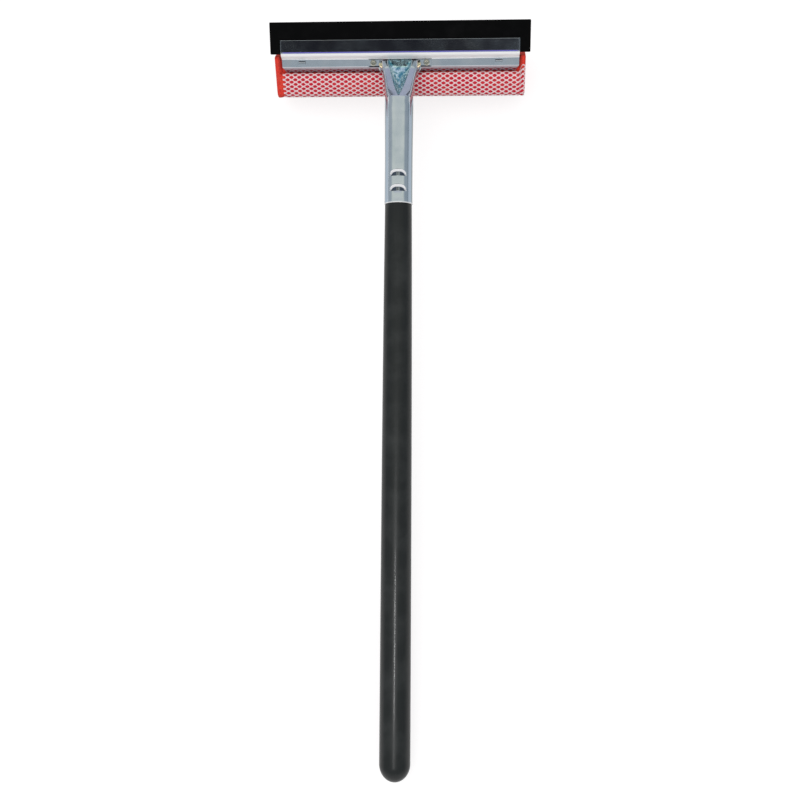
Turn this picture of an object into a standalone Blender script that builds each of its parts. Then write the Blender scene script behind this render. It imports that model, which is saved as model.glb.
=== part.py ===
"""A hand-held window squeegee: a sheet-steel head with a rubber blade on one side and a
net-covered foam sponge on the other, on a rolled steel socket and a turned wooden handle.

Every piece is modelled in the tool's own frame, in metres: +Y runs up the handle from the
socket's rim to the head, +Z looks out of the blade's side, and the handle's axis is the
Y axis. One empty then lays the tool down as it rests, on the sponge and the handle's butt,
with the origin under the middle of its bounding box.
"""

import math

import bmesh
import bpy
import numpy as np
from mathutils import Vector

# Clearance left between pieces that touch, and between a shank and its hole.
GAP = 0.0003

# Wooden handle, turned: a plain stretch inside the socket, then a slow swell to the butt.
HANDLE_LENGTH = 0.508
TENON_LENGTH = 0.062
HANDLE_NECK_RADIUS = 0.01045
HANDLE_BUTT_RADIUS = 0.01205
HANDLE_DOME_LENGTH = 0.0138
HANDLE_SWELL_EASE = 2.0
TENON_CHAMFER = 0.0012

# Socket: one steel blank rolled round the handle, its seam at the back.
SOCKET_RADIUS = 0.0108
SOCKET_WALL = 0.001
SOCKET_SEAM = 0.0004
SOCKET_WIDENING = 0.0003
SOCKET_RIM_FLARE = 0.00015
SOCKET_RIM_RUN = 0.004

# Two crimps pressed into the socket's front, which key it to the wood.
CRIMP_FIRST = 0.0110
CRIMP_PITCH = 0.0115
CRIMP_HEIGHT = 0.0052
CRIMP_DEPTH = 0.0012
CRIMP_HALF_ANGLE = math.radians(47)
CRIMP_FLAT = 0.15
CRIMP_SPREAD = 0.7

# Gusset: the blank's front is pressed back in a V, and its seam edges open into two ears.
APEX_REACH = 0.083
GUSSET_SLOPE = 0.29
GUSSET_FLOOR_RUN = 0.0268
GUSSET_COLUMNS = 5
RIDGE_START = 0.086
RIDGE_EASE = 0.35
RIDGE_HEIGHT = 0.0052
RIDGE_CREST = 0.05
RIDGE_FOOT = 0.85
RIDGE_SPREAD = 0.7
SEAM_OPENING = 0.088
SEAM_WAIST_BELOW_EARS = 0.0106
SEAM_WAIST = 0.6
SEAM_OPENED_SHORT = 0.0055
FORK_HALF_WIDTH = 0.0169
EAR_HALF_SPAN = 0.0249

# Head, placed from the web's centre line, which the ears lie on.
WEB_REACH = 0.1142
WEB_INSET = 0.00155
WEB_LEAN = math.radians(33)
WEB_HEIGHT = 0.0064
EAR_OVERHANG = 0.0006
HEAD_LENGTH = 0.1868
SHEET = 0.0009
SHEET_BEND = 0.00175
FOLD_BEND = 0.0009

# Rubber blade, placed by the foot of its back face.
BLADE_LENGTH = 0.2032
BLADE_HEIGHT = 0.0240
BLADE_THICKNESS = 0.0040
BLADE_LEAN = math.radians(18)
BLADE_BACK_RISE = 0.0061
BLADE_BACK_STEP = 0.00265
BLADE_CORNER = 0.0008
FRONT_GRIP = 0.0104
BACK_GRIP = 0.0100
FRONT_BEND_DROP = 0.0005

# Lips that bite into the foam.
LIP_LENGTH = 0.0056
LIP_TURN = math.radians(29)
LIP_END_CUT = 0.0029
BACK_WALL_HEIGHT = 0.0090

# Foam sponge: how far it passes the plates' ends, its free section, and how it is squeezed.
SPONGE_OVERHANG = 0.0051
SPONGE_HEIGHT = 0.0316
SPONGE_THICKNESS = 0.038
SPONGE_PROUD = 0.0003
SPONGE_TOP = 0.0042
SPONGE_TOP_CORNER = 0.0025
SPONGE_FOOT_CORNER = 0.0050
SPONGE_END_EDGE = 0.0012
SPONGE_RECOVERY_SHARE = 0.62
SPONGE_CROWN = 0.0005
SQUEEZE_BACK = 0.0027
BULGE_RUN = 0.0045

# Net wrapped round the foam from lip to lip.
NET_LEFT_SHORT = 0.0024
NET_RIGHT_LAP = 0.0036
NET_COLUMNS = 13
NET_HALF_ROWS = 18
NET_STRAND = 0.0021
NET_THICKNESS = 0.0005
NET_LIFT = 0.00045

# Rivets through ear, web and back tab, and the back plate's tabs.
RIVET_RADIUS = 0.0014
RIVET_HEAD_RADIUS = 0.0024
RIVET_HEAD = 0.0008
RIVET_RECESS_RADIUS = 0.0010
RIVET_TAIL = 0.0006
TAB_WIDTH = 0.0080
HOOK_TAB_SPREAD = 0.0775
HOOK_TAB_WIDTH = 0.0052
HOOK_FOLD = 0.0019
HOOK_ABOVE_CENTRE = 0.0006
TAB_TAIL_ABOVE = 0.0009

TURNED_SIDES = 36
RIVET_SIDES = 20
BEND_STEPS = 5


class Place:
    """A point of the head's section with its own lean: up along the face, out to the front."""

    def __init__(self, y, z, lean):
        self.y, self.z = y, z
        self.up = (math.cos(lean), math.sin(lean))
        self.out = (-math.sin(lean), math.cos(lean))

    def at(self, up, out):
        """The (y, z) point at these distances up the face and out of it."""
        return (
            self.y + up * self.up[0] + out * self.out[0],
            self.z + up * self.up[1] + out * self.out[1],
        )

    def of(self, point):
        """The (up, out) distances of a (y, z) point."""
        y, z = point[0] - self.y, point[1] - self.z
        return y * self.up[0] + z * self.up[1], y * self.out[0] + z * self.out[1]


WEB = Place(WEB_REACH, WEB_INSET - SOCKET_RADIUS, WEB_LEAN)
BLADE = Place(WEB.y + BLADE_BACK_RISE, WEB.z + BLADE_BACK_STEP, BLADE_LEAN)

# The back plate's tabs lie behind the web, and the rivets' tails behind the tabs.
TAB_OUT = -(SHEET + GAP + SHEET / 2)
RIVET_TAIL_OUT = TAB_OUT - SHEET / 2 - GAP
CHANNEL_FRONT = RIVET_TAIL_OUT - RIVET_TAIL - GAP
CHANNEL_BACK = SPONGE_PROUD - SPONGE_THICKNESS + SQUEEZE_BACK
TOP_WALL_UP = SPONGE_TOP + GAP + SHEET / 2
BACK_WALL_OUT = CHANNEL_BACK - GAP - SHEET / 2
EAR_OUT = GAP + SOCKET_WALL / 2
SOCKET_TOP = WEB.at(WEB_HEIGHT / 2 - GAP, EAR_OUT)[0]
RIVET_SPREAD = (FORK_HALF_WIDTH + EAR_HALF_SPAN) / 2
NET_LEFT_END = NET_LEFT_SHORT - HEAD_LENGTH / 2
NET_RIGHT_END = HEAD_LENGTH / 2 + NET_RIGHT_LAP


def smooth(value):
    """An S-curve from 0 to 1."""
    value = min(max(value, 0.0), 1.0)
    return value * value * (3 - 2 * value)


def ramp(value, ease):
    """A straight rise from 0 to 1 that sets off gently over its first part."""
    value = min(max(value, 0.0), 1.0)
    risen = value * value / (2 * ease) if value < ease else value - ease / 2
    return risen / (1 - ease / 2)


def mix(low, high, share):
    """The value this share of the way from low to high."""
    return low + (high - low) * share


def clear_scene():
    for obj in list(bpy.data.objects):
        bpy.data.objects.remove(obj)


def finish(name, colour, roughness, metallic):
    material = bpy.data.materials.new(name)
    material.use_nodes = True
    shader = material.node_tree.nodes["Principled BSDF"]
    shader.inputs["Base Color"].default_value = (*colour, 1)
    shader.inputs["Roughness"].default_value = roughness
    shader.inputs["Metallic"].default_value = metallic
    return material


def piece(name, mesh, material):
    """Puts a bmesh in the scene as one named object, shaded smooth up to 35 degrees."""
    bmesh.ops.recalc_face_normals(mesh, faces=mesh.faces[:])
    data = bpy.data.meshes.new(name)
    mesh.to_mesh(data)
    mesh.free()
    data.materials.append(material)
    data.shade_smooth()
    data.set_sharp_from_angle(angle=math.radians(35))
    obj = bpy.data.objects.new(name, data)
    bpy.context.collection.objects.link(obj)
    return obj


def helper(name, mesh, material):
    """A shape that only cuts or joins others."""
    obj = piece(name, mesh, material)
    obj.hide_render = True
    obj.display_type = "WIRE"
    return obj


def thicken(obj, thickness):
    modifier = obj.modifiers.new("wall", "SOLIDIFY")
    modifier.thickness = thickness
    modifier.offset = 0
    modifier.use_even_offset = True
    modifier.use_quality_normals = True


def boolean(obj, other, operation):
    modifier = obj.modifiers.new(operation.lower() + "_" + other.name, "BOOLEAN")
    modifier.object = other
    modifier.operation = operation
    modifier.solver = "EXACT"


def bridge_rings(mesh, rings, closed):
    """Quads between neighbouring rows of vertices."""
    for low, high in zip(rings, rings[1:]):
        last = len(low) if closed else len(low) - 1
        for i in range(last):
            j = (i + 1) % len(low)
            mesh.faces.new((low[i], low[j], high[j], high[i]))


def bent_path(corners, radius):
    """The corners' polyline with each inner corner rounded by an arc of this radius."""
    points = [Vector(corners[0])]
    for before, corner, after in zip(corners, corners[1:], corners[2:]):
        here = Vector(corner)
        back = (Vector(before) - here).normalized()
        ahead = (Vector(after) - here).normalized()
        half_turn = (math.pi - back.angle(ahead)) / 2
        inward = (back + ahead).normalized()
        centre = here + inward * (radius / math.cos(half_turn))
        start = here + back * (radius * math.tan(half_turn)) - centre
        turn = 2 * half_turn * math.copysign(1, ahead.cross(back))
        for step in range(BEND_STEPS + 1):
            angle = turn * step / BEND_STEPS
            spun = Vector(
                (
                    start.x * math.cos(angle) - start.y * math.sin(angle),
                    start.x * math.sin(angle) + start.y * math.cos(angle),
                )
            )
            points.append(centre + spun)
    points.append(Vector(corners[-1]))
    return points


def strip(path, ends):
    """A sheet's middle surface: the (y, z) path swept between each point's two X ends."""
    mesh = bmesh.new()
    rows = []
    for (y, z), (low, high) in zip(path, ends):
        rows.append([mesh.verts.new((low, y, z)), mesh.verts.new((high, y, z))])
    bridge_rings(mesh, rows, closed=False)
    return mesh


def web_block(x, half_width, up_low, up_high, out_low, out_high):
    """A box in the web's own directions, as a cutter's mesh."""
    mesh = bmesh.new()
    rows = []
    for side in (x - half_width, x + half_width):
        corners = ((up_low, out_low), (up_high, out_low), (up_high, out_high), (up_low, out_high))
        rows.append([mesh.verts.new((side, *WEB.at(*corner))) for corner in corners])
    bridge_rings(mesh, rows, closed=True)
    mesh.faces.new(rows[0])
    mesh.faces.new(rows[1])
    return mesh


def web_round(x, profile, sides):
    """A shape turned about the web's normal at this X, from (radius, out) points."""
    mesh = bmesh.new()
    rings = []
    for radius, out in profile:
        ring = []
        for i in range(sides):
            angle = 2 * math.pi * i / sides
            y, z = WEB.at(radius * math.sin(angle), out)
            ring.append(mesh.verts.new((x + radius * math.cos(angle), y, z)))
        rings.append(ring)
    bridge_rings(mesh, rings, closed=True)
    mesh.faces.new(rings[0])
    mesh.faces.new(rings[-1])
    return mesh


def crimp_depth(angle, along):
    """How far the two crimps press the wall in, at this angle from the front."""
    around = 1 - smooth((abs(angle) / CRIMP_HALF_ANGLE - CRIMP_SPREAD) / (1 - CRIMP_SPREAD))
    depth = 0.0
    for i in range(2):
        middle = CRIMP_FIRST + i * CRIMP_PITCH
        off = abs(along - middle) / (CRIMP_HEIGHT / 2)
        depth = max(depth, CRIMP_DEPTH * (1 - smooth((off - CRIMP_FLAT) / (1 - CRIMP_FLAT))))
    return depth * around


def crimp_stations():
    """Heights along the socket that carry the crimps' outlines."""
    shares = (-1.0, -0.7, -0.35, 0.0, 0.35, 0.7, 1.0)
    return [
        CRIMP_FIRST + i * CRIMP_PITCH + share * CRIMP_HEIGHT / 2 for i in range(2) for share in shares
    ]


def handle_radius(down):
    """The turned radius, this far below the socket's rim."""
    exposed = HANDLE_LENGTH - TENON_LENGTH
    dome_start = exposed - HANDLE_DOME_LENGTH
    share = min(down, dome_start) / dome_start
    ease = (1 - math.exp(-HANDLE_SWELL_EASE * share)) / (1 - math.exp(-HANDLE_SWELL_EASE))
    radius = mix(HANDLE_NECK_RADIUS, HANDLE_BUTT_RADIUS, ease)
    if down > dome_start:
        radius *= math.sqrt(max(0.0, 1 - ((down - dome_start) / HANDLE_DOME_LENGTH) ** 2))
    return radius


def make_handle(material):
    mesh = bmesh.new()
    tenon_radius = SOCKET_RADIUS - SOCKET_WALL - GAP
    exposed = HANDLE_LENGTH - TENON_LENGTH
    profile = [(TENON_LENGTH, tenon_radius - TENON_CHAMFER), (TENON_LENGTH - TENON_CHAMFER, tenon_radius)]
    profile += [(along, tenon_radius) for along in reversed(crimp_stations())]
    profile += [(-GAP, tenon_radius), (-GAP, handle_radius(0))]
    body_steps, dome_steps = 12, 7
    dome_start = exposed - HANDLE_DOME_LENGTH
    for i in range(1, body_steps + 1):
        down = dome_start * i / body_steps
        profile.append((-down, handle_radius(down)))
    for i in range(1, dome_steps):
        down = dome_start + HANDLE_DOME_LENGTH * math.sin(math.pi / 2 * i / dome_steps)
        profile.append((-down, handle_radius(down)))
    rings = []
    for along, radius in profile:
        ring = []
        for i in range(TURNED_SIDES):
            angle = 2 * math.pi * i / TURNED_SIDES
            reach = radius
            if along > 0:
                reach -= crimp_depth((angle + math.pi) % (2 * math.pi) - math.pi, along)
            ring.append(mesh.verts.new((reach * math.sin(angle), along, reach * math.cos(angle))))
        rings.append(ring)
    bridge_rings(mesh, rings, closed=True)
    mesh.faces.new(rings[0])
    tip = mesh.verts.new((0, -exposed, 0))
    for i in range(TURNED_SIDES):
        mesh.faces.new((rings[-1][i], rings[-1][(i + 1) % TURNED_SIDES], tip))
    return piece("handle", mesh, material)


def ear_plane(along):
    """Z of the ears' middle surface, and of the socket's back below them."""
    up_y, up_z = WEB.at(0, EAR_OUT)
    return max(-(SOCKET_RADIUS - SOCKET_WALL / 2), up_z + (along - up_y) * math.tan(WEB_LEAN))


def socket_radius(angle, along):
    """Radius of the round socket's middle surface, before the gusset is pressed."""
    radius = SOCKET_RADIUS - SOCKET_WALL / 2
    radius += SOCKET_WIDENING * smooth((along - TENON_LENGTH / 2) / (APEX_REACH - TENON_LENGTH / 2))
    radius += SOCKET_RIM_FLARE * (1 - smooth(along / SOCKET_RIM_RUN))
    return radius - crimp_depth(angle, along)


def gusset_press(run, along):
    """Share of its height that the V takes from the front, this far from the centre line."""
    starts = APEX_REACH + run / GUSSET_SLOPE
    if along <= starts or run >= GUSSET_SLOPE * (along - APEX_REACH):
        return 0.0
    corner = GUSSET_SLOPE * (SOCKET_TOP - APEX_REACH)
    ends = mix(APEX_REACH + GUSSET_FLOOR_RUN, SOCKET_TOP, min(run / corner, 1.0))
    return min((along - starts) / (ends - starts), 1.0) if ends > starts else 1.0


def socket_point(side, angle, along):
    """A point of the socket's middle surface: the angle is the blank's, from its front."""
    radius = socket_radius(angle, along)
    floor, top = ear_plane(along), SOCKET_TOP
    run = radius * angle
    corner = GUSSET_SLOPE * (top - APEX_REACH)
    outward = max(0.0, (run - corner) / (math.pi * radius - corner))
    flat_x = run if outward == 0 else mix(corner, FORK_HALF_WIDTH, outward**RIDGE_SPREAD)
    ridge = RIDGE_HEIGHT * (1 - smooth((outward - RIDGE_CREST) / (RIDGE_FOOT - RIDGE_CREST)))
    share = smooth(outward)
    starts = mix(RIDGE_START, SEAM_OPENING, share)
    ends = mix(top, top - SEAM_OPENED_SHORT, share)
    gone = (along - starts) / (ends - starts)
    opened = mix(ramp(gone, RIDGE_EASE), smooth(gone), share)
    pressed = gusset_press(run, along)
    height = mix(radius * math.cos(angle) - floor, ridge, opened) * (1 - pressed)
    x = mix(mix(radius * math.sin(angle), flat_x, opened), run, pressed)
    lean = opened * WEB_LEAN
    return side * x, along - height * math.sin(lean), floor + height * math.cos(lean)


def blank_edge(along):
    """How far round the blank reaches, as a share of the half turn: its back is cut away."""
    ear_low = WEB.at(-WEB_HEIGHT / 2 - EAR_OVERHANG, EAR_OUT)[0]
    waist = ear_low - SEAM_WAIST_BELOW_EARS
    if along < waist:
        away = smooth((along - SEAM_OPENING) / (waist - SEAM_OPENING))
    else:
        away = 1 - smooth((along - waist) / (ear_low - waist))
    return mix(1.0, SEAM_WAIST, away)


def socket_stations():
    """Distances up the socket at which its blank is drawn, and the first that has ears."""
    ear_low = WEB.at(-WEB_HEIGHT / 2 - EAR_OVERHANG, EAR_OUT)[0]
    crimps = crimp_stations()
    stations = [0.0, SOCKET_RIM_RUN / 2, SOCKET_RIM_RUN] + crimps
    stations += [mix(crimps[-1], APEX_REACH, share) for share in (0.2, 0.45, 0.7, 0.88, 1.0)]
    fork_steps, ear_steps = 17, 4
    stations += [mix(APEX_REACH, ear_low, i / fork_steps) for i in range(1, fork_steps + 1)]
    stations += [mix(ear_low, SOCKET_TOP, i / ear_steps) for i in range(1, ear_steps + 1)]
    return stations, ear_low


def shell_offsets(mesh, half):
    """For each vertex, the step that moves all the faces round it out by half the wall."""
    steps = {}
    for vertex in mesh.verts:
        normals = np.array([face.normal for face in vertex.link_faces])
        reach = np.linalg.lstsq(normals, np.full(len(normals), half), rcond=0.25)[0]
        steps[vertex] = Vector(reach)
    return steps


def shell(mesh, steps):
    """A closed wall about a surface, each vertex stepping out and in by its own offset."""
    wall = bmesh.new()
    outside = {vertex: wall.verts.new(vertex.co + steps[vertex]) for vertex in mesh.verts}
    inside = {vertex: wall.verts.new(vertex.co - steps[vertex]) for vertex in mesh.verts}
    for face in mesh.faces:
        wall.faces.new([outside[vertex] for vertex in face.verts])
        wall.faces.new([inside[vertex] for vertex in reversed(face.verts)])
    for edge in mesh.edges:
        if len(edge.link_faces) == 1:
            a, b = edge.verts
            wall.faces.new((outside[a], outside[b], inside[b], inside[a]))
    mesh.free()
    return wall


def socket_sheet():
    """The blank's middle surface, its rows of vertices and the stations they lie at."""
    stations, ear_low = socket_stations()
    radius = SOCKET_RADIUS - SOCKET_WALL / 2
    seam_angle = math.pi - SOCKET_SEAM / 2 / radius
    outer = TURNED_SIDES // 2
    mesh = bmesh.new()
    knots = {}

    def knot(point):
        """The vertex at this point, made once: the V's columns meet at its apex."""
        key = tuple(round(value, 7) for value in point)
        if key not in knots:
            knots[key] = mesh.verts.new(point)
        return knots[key]

    rows = []
    for along in stations:
        edge = max(0.0, GUSSET_SLOPE * (along - APEX_REACH) / radius)
        angles = [edge * i / GUSSET_COLUMNS for i in range(GUSSET_COLUMNS)]
        last = seam_angle * blank_edge(along)
        angles += [mix(edge, last, i / outer) for i in range(outer + 1)]
        row = [knot(socket_point(-1, angle, along)) for angle in reversed(angles)]
        row += [knot(socket_point(1, angle, along)) for angle in angles[1:]]
        if along >= ear_low - 1e-9:
            ends = row[0].co, row[-1].co
            row.insert(0, knot((-EAR_HALF_SPAN, ends[0].y, ends[0].z)))
            row.append(knot((EAR_HALF_SPAN, ends[1].y, ends[1].z)))
        rows.append(row)
    for low, high in zip(rows, rows[1:]):
        trim = (len(high) - len(low)) // 2
        high = high[trim : len(high) - trim]
        for i in range(len(low) - 1):
            corners = list(dict.fromkeys((low[i], low[i + 1], high[i + 1], high[i])))
            if len(corners) > 2:
                mesh.faces.new(corners)
    bmesh.ops.recalc_face_normals(mesh, faces=mesh.faces[:])
    if sum(face.normal.z for face in rows[0][len(rows[0]) // 2].link_faces) < 0:
        bmesh.ops.reverse_faces(mesh, faces=mesh.faces[:])
    return mesh, rows, stations


def make_socket(material):
    mesh, rows, stations = socket_sheet()
    steps = shell_offsets(mesh, SOCKET_WALL / 2)
    # Within the V the wall is flat from its crease to its edge, so the steps are too.
    for row, along in zip(rows, stations):
        if APEX_REACH < along < APEX_REACH + GUSSET_FLOOR_RUN:
            middle = len(row) // 2
            for way in (-1, 1):
                crease, edge = steps[row[middle]], steps[row[middle + way * GUSSET_COLUMNS]]
                for i in range(1, GUSSET_COLUMNS):
                    steps[row[middle + way * i]] = crease.lerp(edge, i / GUSSET_COLUMNS)
    return piece("socket", shell(mesh, steps), material)


def make_front_plate(material):
    grip = BLADE_THICKNESS + GAP + SHEET / 2
    half_web = WEB_HEIGHT / 2
    web_foot = (-half_web, -SHEET / 2)
    lip_end = (
        web_foot[0] - LIP_LENGTH * math.cos(LIP_TURN),
        web_foot[1] - LIP_LENGTH * math.sin(LIP_TURN),
    )
    corners = [
        BLADE.at(FRONT_GRIP, grip),
        BLADE.at(-FRONT_BEND_DROP, grip),
        WEB.at(half_web, -SHEET / 2),
        WEB.at(*web_foot),
        WEB.at(*lip_end),
    ]
    path = bent_path(corners, SHEET_BEND)
    half = HEAD_LENGTH / 2
    ends = []
    for point in path:
        below = -half_web - WEB.of(point)[0]
        cut = LIP_END_CUT * min(max(below / (-half_web - lip_end[0]), 0.0), 1.0)
        ends.append((cut - half, half - cut))
    plate = piece("front_plate", strip(path, ends), material)
    thicken(plate, SHEET)
    return plate


def make_back_plate(material):
    leg_out = -(GAP + SHEET / 2)
    foot = BLADE.at(0, leg_out)
    foot_up, _ = WEB.of(foot)
    # The leg runs down to the top wall's plane, which stands square to the web.
    drop = (foot_up - TOP_WALL_UP) / math.cos(WEB_LEAN - BLADE_LEAN)
    back_low = TOP_WALL_UP - BACK_WALL_HEIGHT
    corners = [
        BLADE.at(BACK_GRIP, leg_out),
        BLADE.at(-drop, leg_out),
        WEB.at(TOP_WALL_UP, BACK_WALL_OUT),
        WEB.at(back_low, BACK_WALL_OUT),
        WEB.at(
            back_low - LIP_LENGTH * math.cos(LIP_TURN),
            BACK_WALL_OUT + LIP_LENGTH * math.sin(LIP_TURN),
        ),
    ]
    path = bent_path(corners, FOLD_BEND)
    half = HEAD_LENGTH / 2
    plate = piece("back_plate", strip(path, [(-half, half)] * len(path)), material)
    thicken(plate, SHEET)
    return plate


def make_blade(material):
    mesh = bmesh.new()
    half = BLADE_LENGTH / 2
    low, high = 0.0, BLADE_HEIGHT
    outline = []
    corner_steps = 3
    for centre_x, centre_up, start in (
        (half - BLADE_CORNER, high - BLADE_CORNER, 0),
        (-half + BLADE_CORNER, high - BLADE_CORNER, 90),
        (-half + BLADE_CORNER, low + BLADE_CORNER, 180),
        (half - BLADE_CORNER, low + BLADE_CORNER, 270),
    ):
        for i in range(corner_steps + 1):
            angle = math.radians(start + 90 * i / corner_steps)
            outline.append(
                (
                    centre_x + BLADE_CORNER * math.cos(angle),
                    centre_up + BLADE_CORNER * math.sin(angle),
                )
            )
    rows = []
    for out in (0.0, BLADE_THICKNESS):
        rows.append([mesh.verts.new((x, *BLADE.at(up, out))) for x, up in outline])
    bridge_rings(mesh, rows, closed=True)
    mesh.faces.new(rows[0])
    mesh.faces.new(rows[1])
    return piece("rubber_blade", mesh, material)


def section_arc(centre, radius, start, end, steps):
    """Points of an arc in (up, out), with angles in degrees from up towards out."""
    points = []
    for i in range(steps + 1):
        angle = math.radians(mix(start, end, i / steps))
        points.append(
            (centre[0] + radius * math.cos(angle), centre[1] + radius * math.sin(angle))
        )
    return points


def lip_creases():
    """Where the foam turns out again under the front and the back lip, in (up, out)."""
    reach = LIP_LENGTH + GAP
    front = (
        -WEB_HEIGHT / 2 - reach * math.cos(LIP_TURN),
        -SHEET / 2 - reach * math.sin(LIP_TURN),
    )
    back = (
        TOP_WALL_UP - BACK_WALL_HEIGHT - reach * math.cos(LIP_TURN),
        BACK_WALL_OUT + reach * math.sin(LIP_TURN),
    )
    return front, back


def freed(points, share):
    """Points of the foam's squeezed section let out to its free faces, by this share."""
    face, rear = SPONGE_PROUD, SPONGE_PROUD - SPONGE_THICKNESS
    foot = SPONGE_TOP - SPONGE_HEIGHT + SPONGE_FOOT_CORNER
    loose = []
    for up, out in points:
        free_out = out if up <= foot else face if out > (face + rear) / 2 else rear
        loose.append((up, mix(out, free_out, share)))
    return loose


def wrap_outline():
    """The foam's free surface from the front crease down, round and up to the back crease."""
    front, back = lip_creases()
    face, rear = SPONGE_PROUD, SPONGE_PROUD - SPONGE_THICKNESS
    foot = SPONGE_TOP - SPONGE_HEIGHT
    round_ = SPONGE_FOOT_CORNER
    side = GAP + SHEET
    tuck = side * 0.6
    shares = ((0.0, 0.0), (0.25, 0.5), (0.6, 0.86), (1.0, 1.0))
    points = [
        (mix(front[0] - tuck, front[0] - BULGE_RUN, share), mix(front[1] + side, face, rise))
        for share, rise in shares
    ]
    points += [(mix(front[0] - BULGE_RUN, foot + round_, 0.5), face + SPONGE_CROWN)]
    points += section_arc((foot + round_, face - round_), round_, 90, 180, 6)
    points += [(foot - SPONGE_CROWN, (face + rear) / 2)]
    points += section_arc((foot + round_, rear + round_), round_, 180, 270, 6)
    points += [(mix(back[0] - BULGE_RUN, foot + round_, 0.5), rear - SPONGE_CROWN)]
    points += [
        (mix(back[0] - tuck, back[0] - BULGE_RUN, share), mix(back[1] - side, rear, rise))
        for share, rise in reversed(shares)
    ]
    return points


def lifted(points, lift):
    """An open outline moved sideways, to the outside of its turn."""
    moved = []
    for i, point in enumerate(points):
        before = Vector(points[max(i - 1, 0)])
        after = Vector(points[min(i + 1, len(points) - 1)])
        along = (after - before).normalized()
        moved.append((point[0] + along.y * lift, point[1] - along.x * lift))
    return moved


def sponge_sections():
    """The foam's outline inside the channel and beyond the plates, point for point."""
    front, back = lip_creases()
    front_behind = (front[0] - GAP, min(front[1] - SHEET, CHANNEL_FRONT))
    back_behind = (back[0] - GAP, max(back[1] + SHEET, CHANNEL_BACK))
    outline = [(-WEB_HEIGHT / 2, CHANNEL_FRONT), front_behind] + wrap_outline()
    outline += [back_behind, (TOP_WALL_UP - BACK_WALL_HEIGHT, CHANNEL_BACK)]
    face, rear = SPONGE_PROUD, SPONGE_PROUD - SPONGE_THICKNESS
    corner, top = SPONGE_TOP_CORNER, SPONGE_TOP
    squeezed = outline + section_arc((top - corner, CHANNEL_BACK + corner), corner, 270, 360, 3)
    squeezed += section_arc((top - corner, CHANNEL_FRONT - corner), corner, 0, 90, 3)
    free = freed(outline, 1) + section_arc((top - corner, rear + corner), corner, 270, 360, 3)
    free += section_arc((top - corner, face - corner), corner, 0, 90, 3)
    return squeezed, free


def sponge_stations():
    """X of each drawn section, its share of the free outline, and its scale about the middle."""
    plate_end = HEAD_LENGTH / 2
    free_run = SPONGE_OVERHANG - GAP
    start, half = plate_end + GAP, plate_end + SPONGE_OVERHANG
    edge = min(SPONGE_END_EDGE, free_run * (1 - SPONGE_RECOVERY_SHARE))
    rounded = 1 - edge / (SPONGE_HEIGHT / 2)
    right = [(0.0, 0.0, 1.0), (plate_end - LIP_END_CUT, 0.0, 1.0)]
    for share, recovered in ((0.0, 0.03), (0.5, 0.58), (1.0, 1.0)):
        right.append((start + free_run * SPONGE_RECOVERY_SHARE * share, recovered, 1.0))
    right += [(half - edge * 0.3, 1.0, mix(1.0, rounded, 0.35)), (half, 1.0, rounded)]
    return [(-x, share, scale) for x, share, scale in reversed(right[1:])] + right


def make_sponge(material):
    squeezed, free = sponge_sections()
    middle = SPONGE_TOP - SPONGE_HEIGHT / 2, SPONGE_PROUD - SPONGE_THICKNESS / 2
    mesh = bmesh.new()
    rings = []
    for x, share, scale in sponge_stations():
        ring = []
        for tight, loose in zip(squeezed, free):
            up = mix(middle[0], mix(tight[0], loose[0], share), scale)
            out = mix(middle[1], mix(tight[1], loose[1], share), scale)
            ring.append(mesh.verts.new((x, *WEB.at(up, out))))
        rings.append(ring)
    bridge_rings(mesh, rings, closed=True)
    mesh.faces.new(rings[0])
    mesh.faces.new(rings[-1])
    return piece("sponge", mesh, material)


class Course:
    """An open polyline that is walked by the distance along it."""

    def __init__(self, points):
        self.points = points
        self.marks = [0.0]
        for a, b in zip(points, points[1:]):
            self.marks.append(self.marks[-1] + math.dist(a, b))
        self.length = self.marks[-1]

    def at(self, distance):
        i = 0
        while i < len(self.points) - 2 and self.marks[i + 1] < distance:
            i += 1
        share = (distance - self.marks[i]) / (self.marks[i + 1] - self.marks[i])
        a, b = self.points[i], self.points[i + 1]
        return mix(a[0], b[0], share), mix(a[1], b[1], share)


def flat_lattice(low, high, length):
    """Diamonds in rows over a flat rectangle, each inset by half a strand and emptied."""
    pitch = (high - low) / NET_COLUMNS
    mesh = bmesh.new()
    rows = []
    for j in range(NET_HALF_ROWS + 1):
        if j % 2:
            marks = [low] + [low + (i + 0.5) * pitch for i in range(NET_COLUMNS)] + [high]
        else:
            marks = [low + i * pitch for i in range(NET_COLUMNS + 1)]
        across = length * j / NET_HALF_ROWS
        rows.append([mesh.verts.new((x, across, 0)) for x in marks])
    for j in range(1, NET_HALF_ROWS):
        here, above, below = rows[j], rows[j + 1], rows[j - 1]
        # Odd rows begin with an edge point, so the points beyond them start one place later.
        shift = 0 if j % 2 else 1
        for i in range(len(here) - 1):
            mesh.faces.new((here[i], below[i + shift], here[i + 1], above[i + shift]))
    for row, near in ((rows[0], rows[1]), (rows[-1], rows[-2])):
        for i in range(NET_COLUMNS):
            mesh.faces.new((row[i], near[i + 1], row[i + 1]))
    bmesh.ops.recalc_face_normals(mesh, faces=mesh.faces[:])
    rims = bmesh.ops.inset_individual(
        mesh, faces=mesh.faces[:], thickness=NET_STRAND / 2, use_even_offset=True
    )["faces"]
    middles = [face for face in mesh.faces if face not in set(rims)]
    bmesh.ops.delete(mesh, geom=middles, context="FACES")
    return mesh


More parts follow.
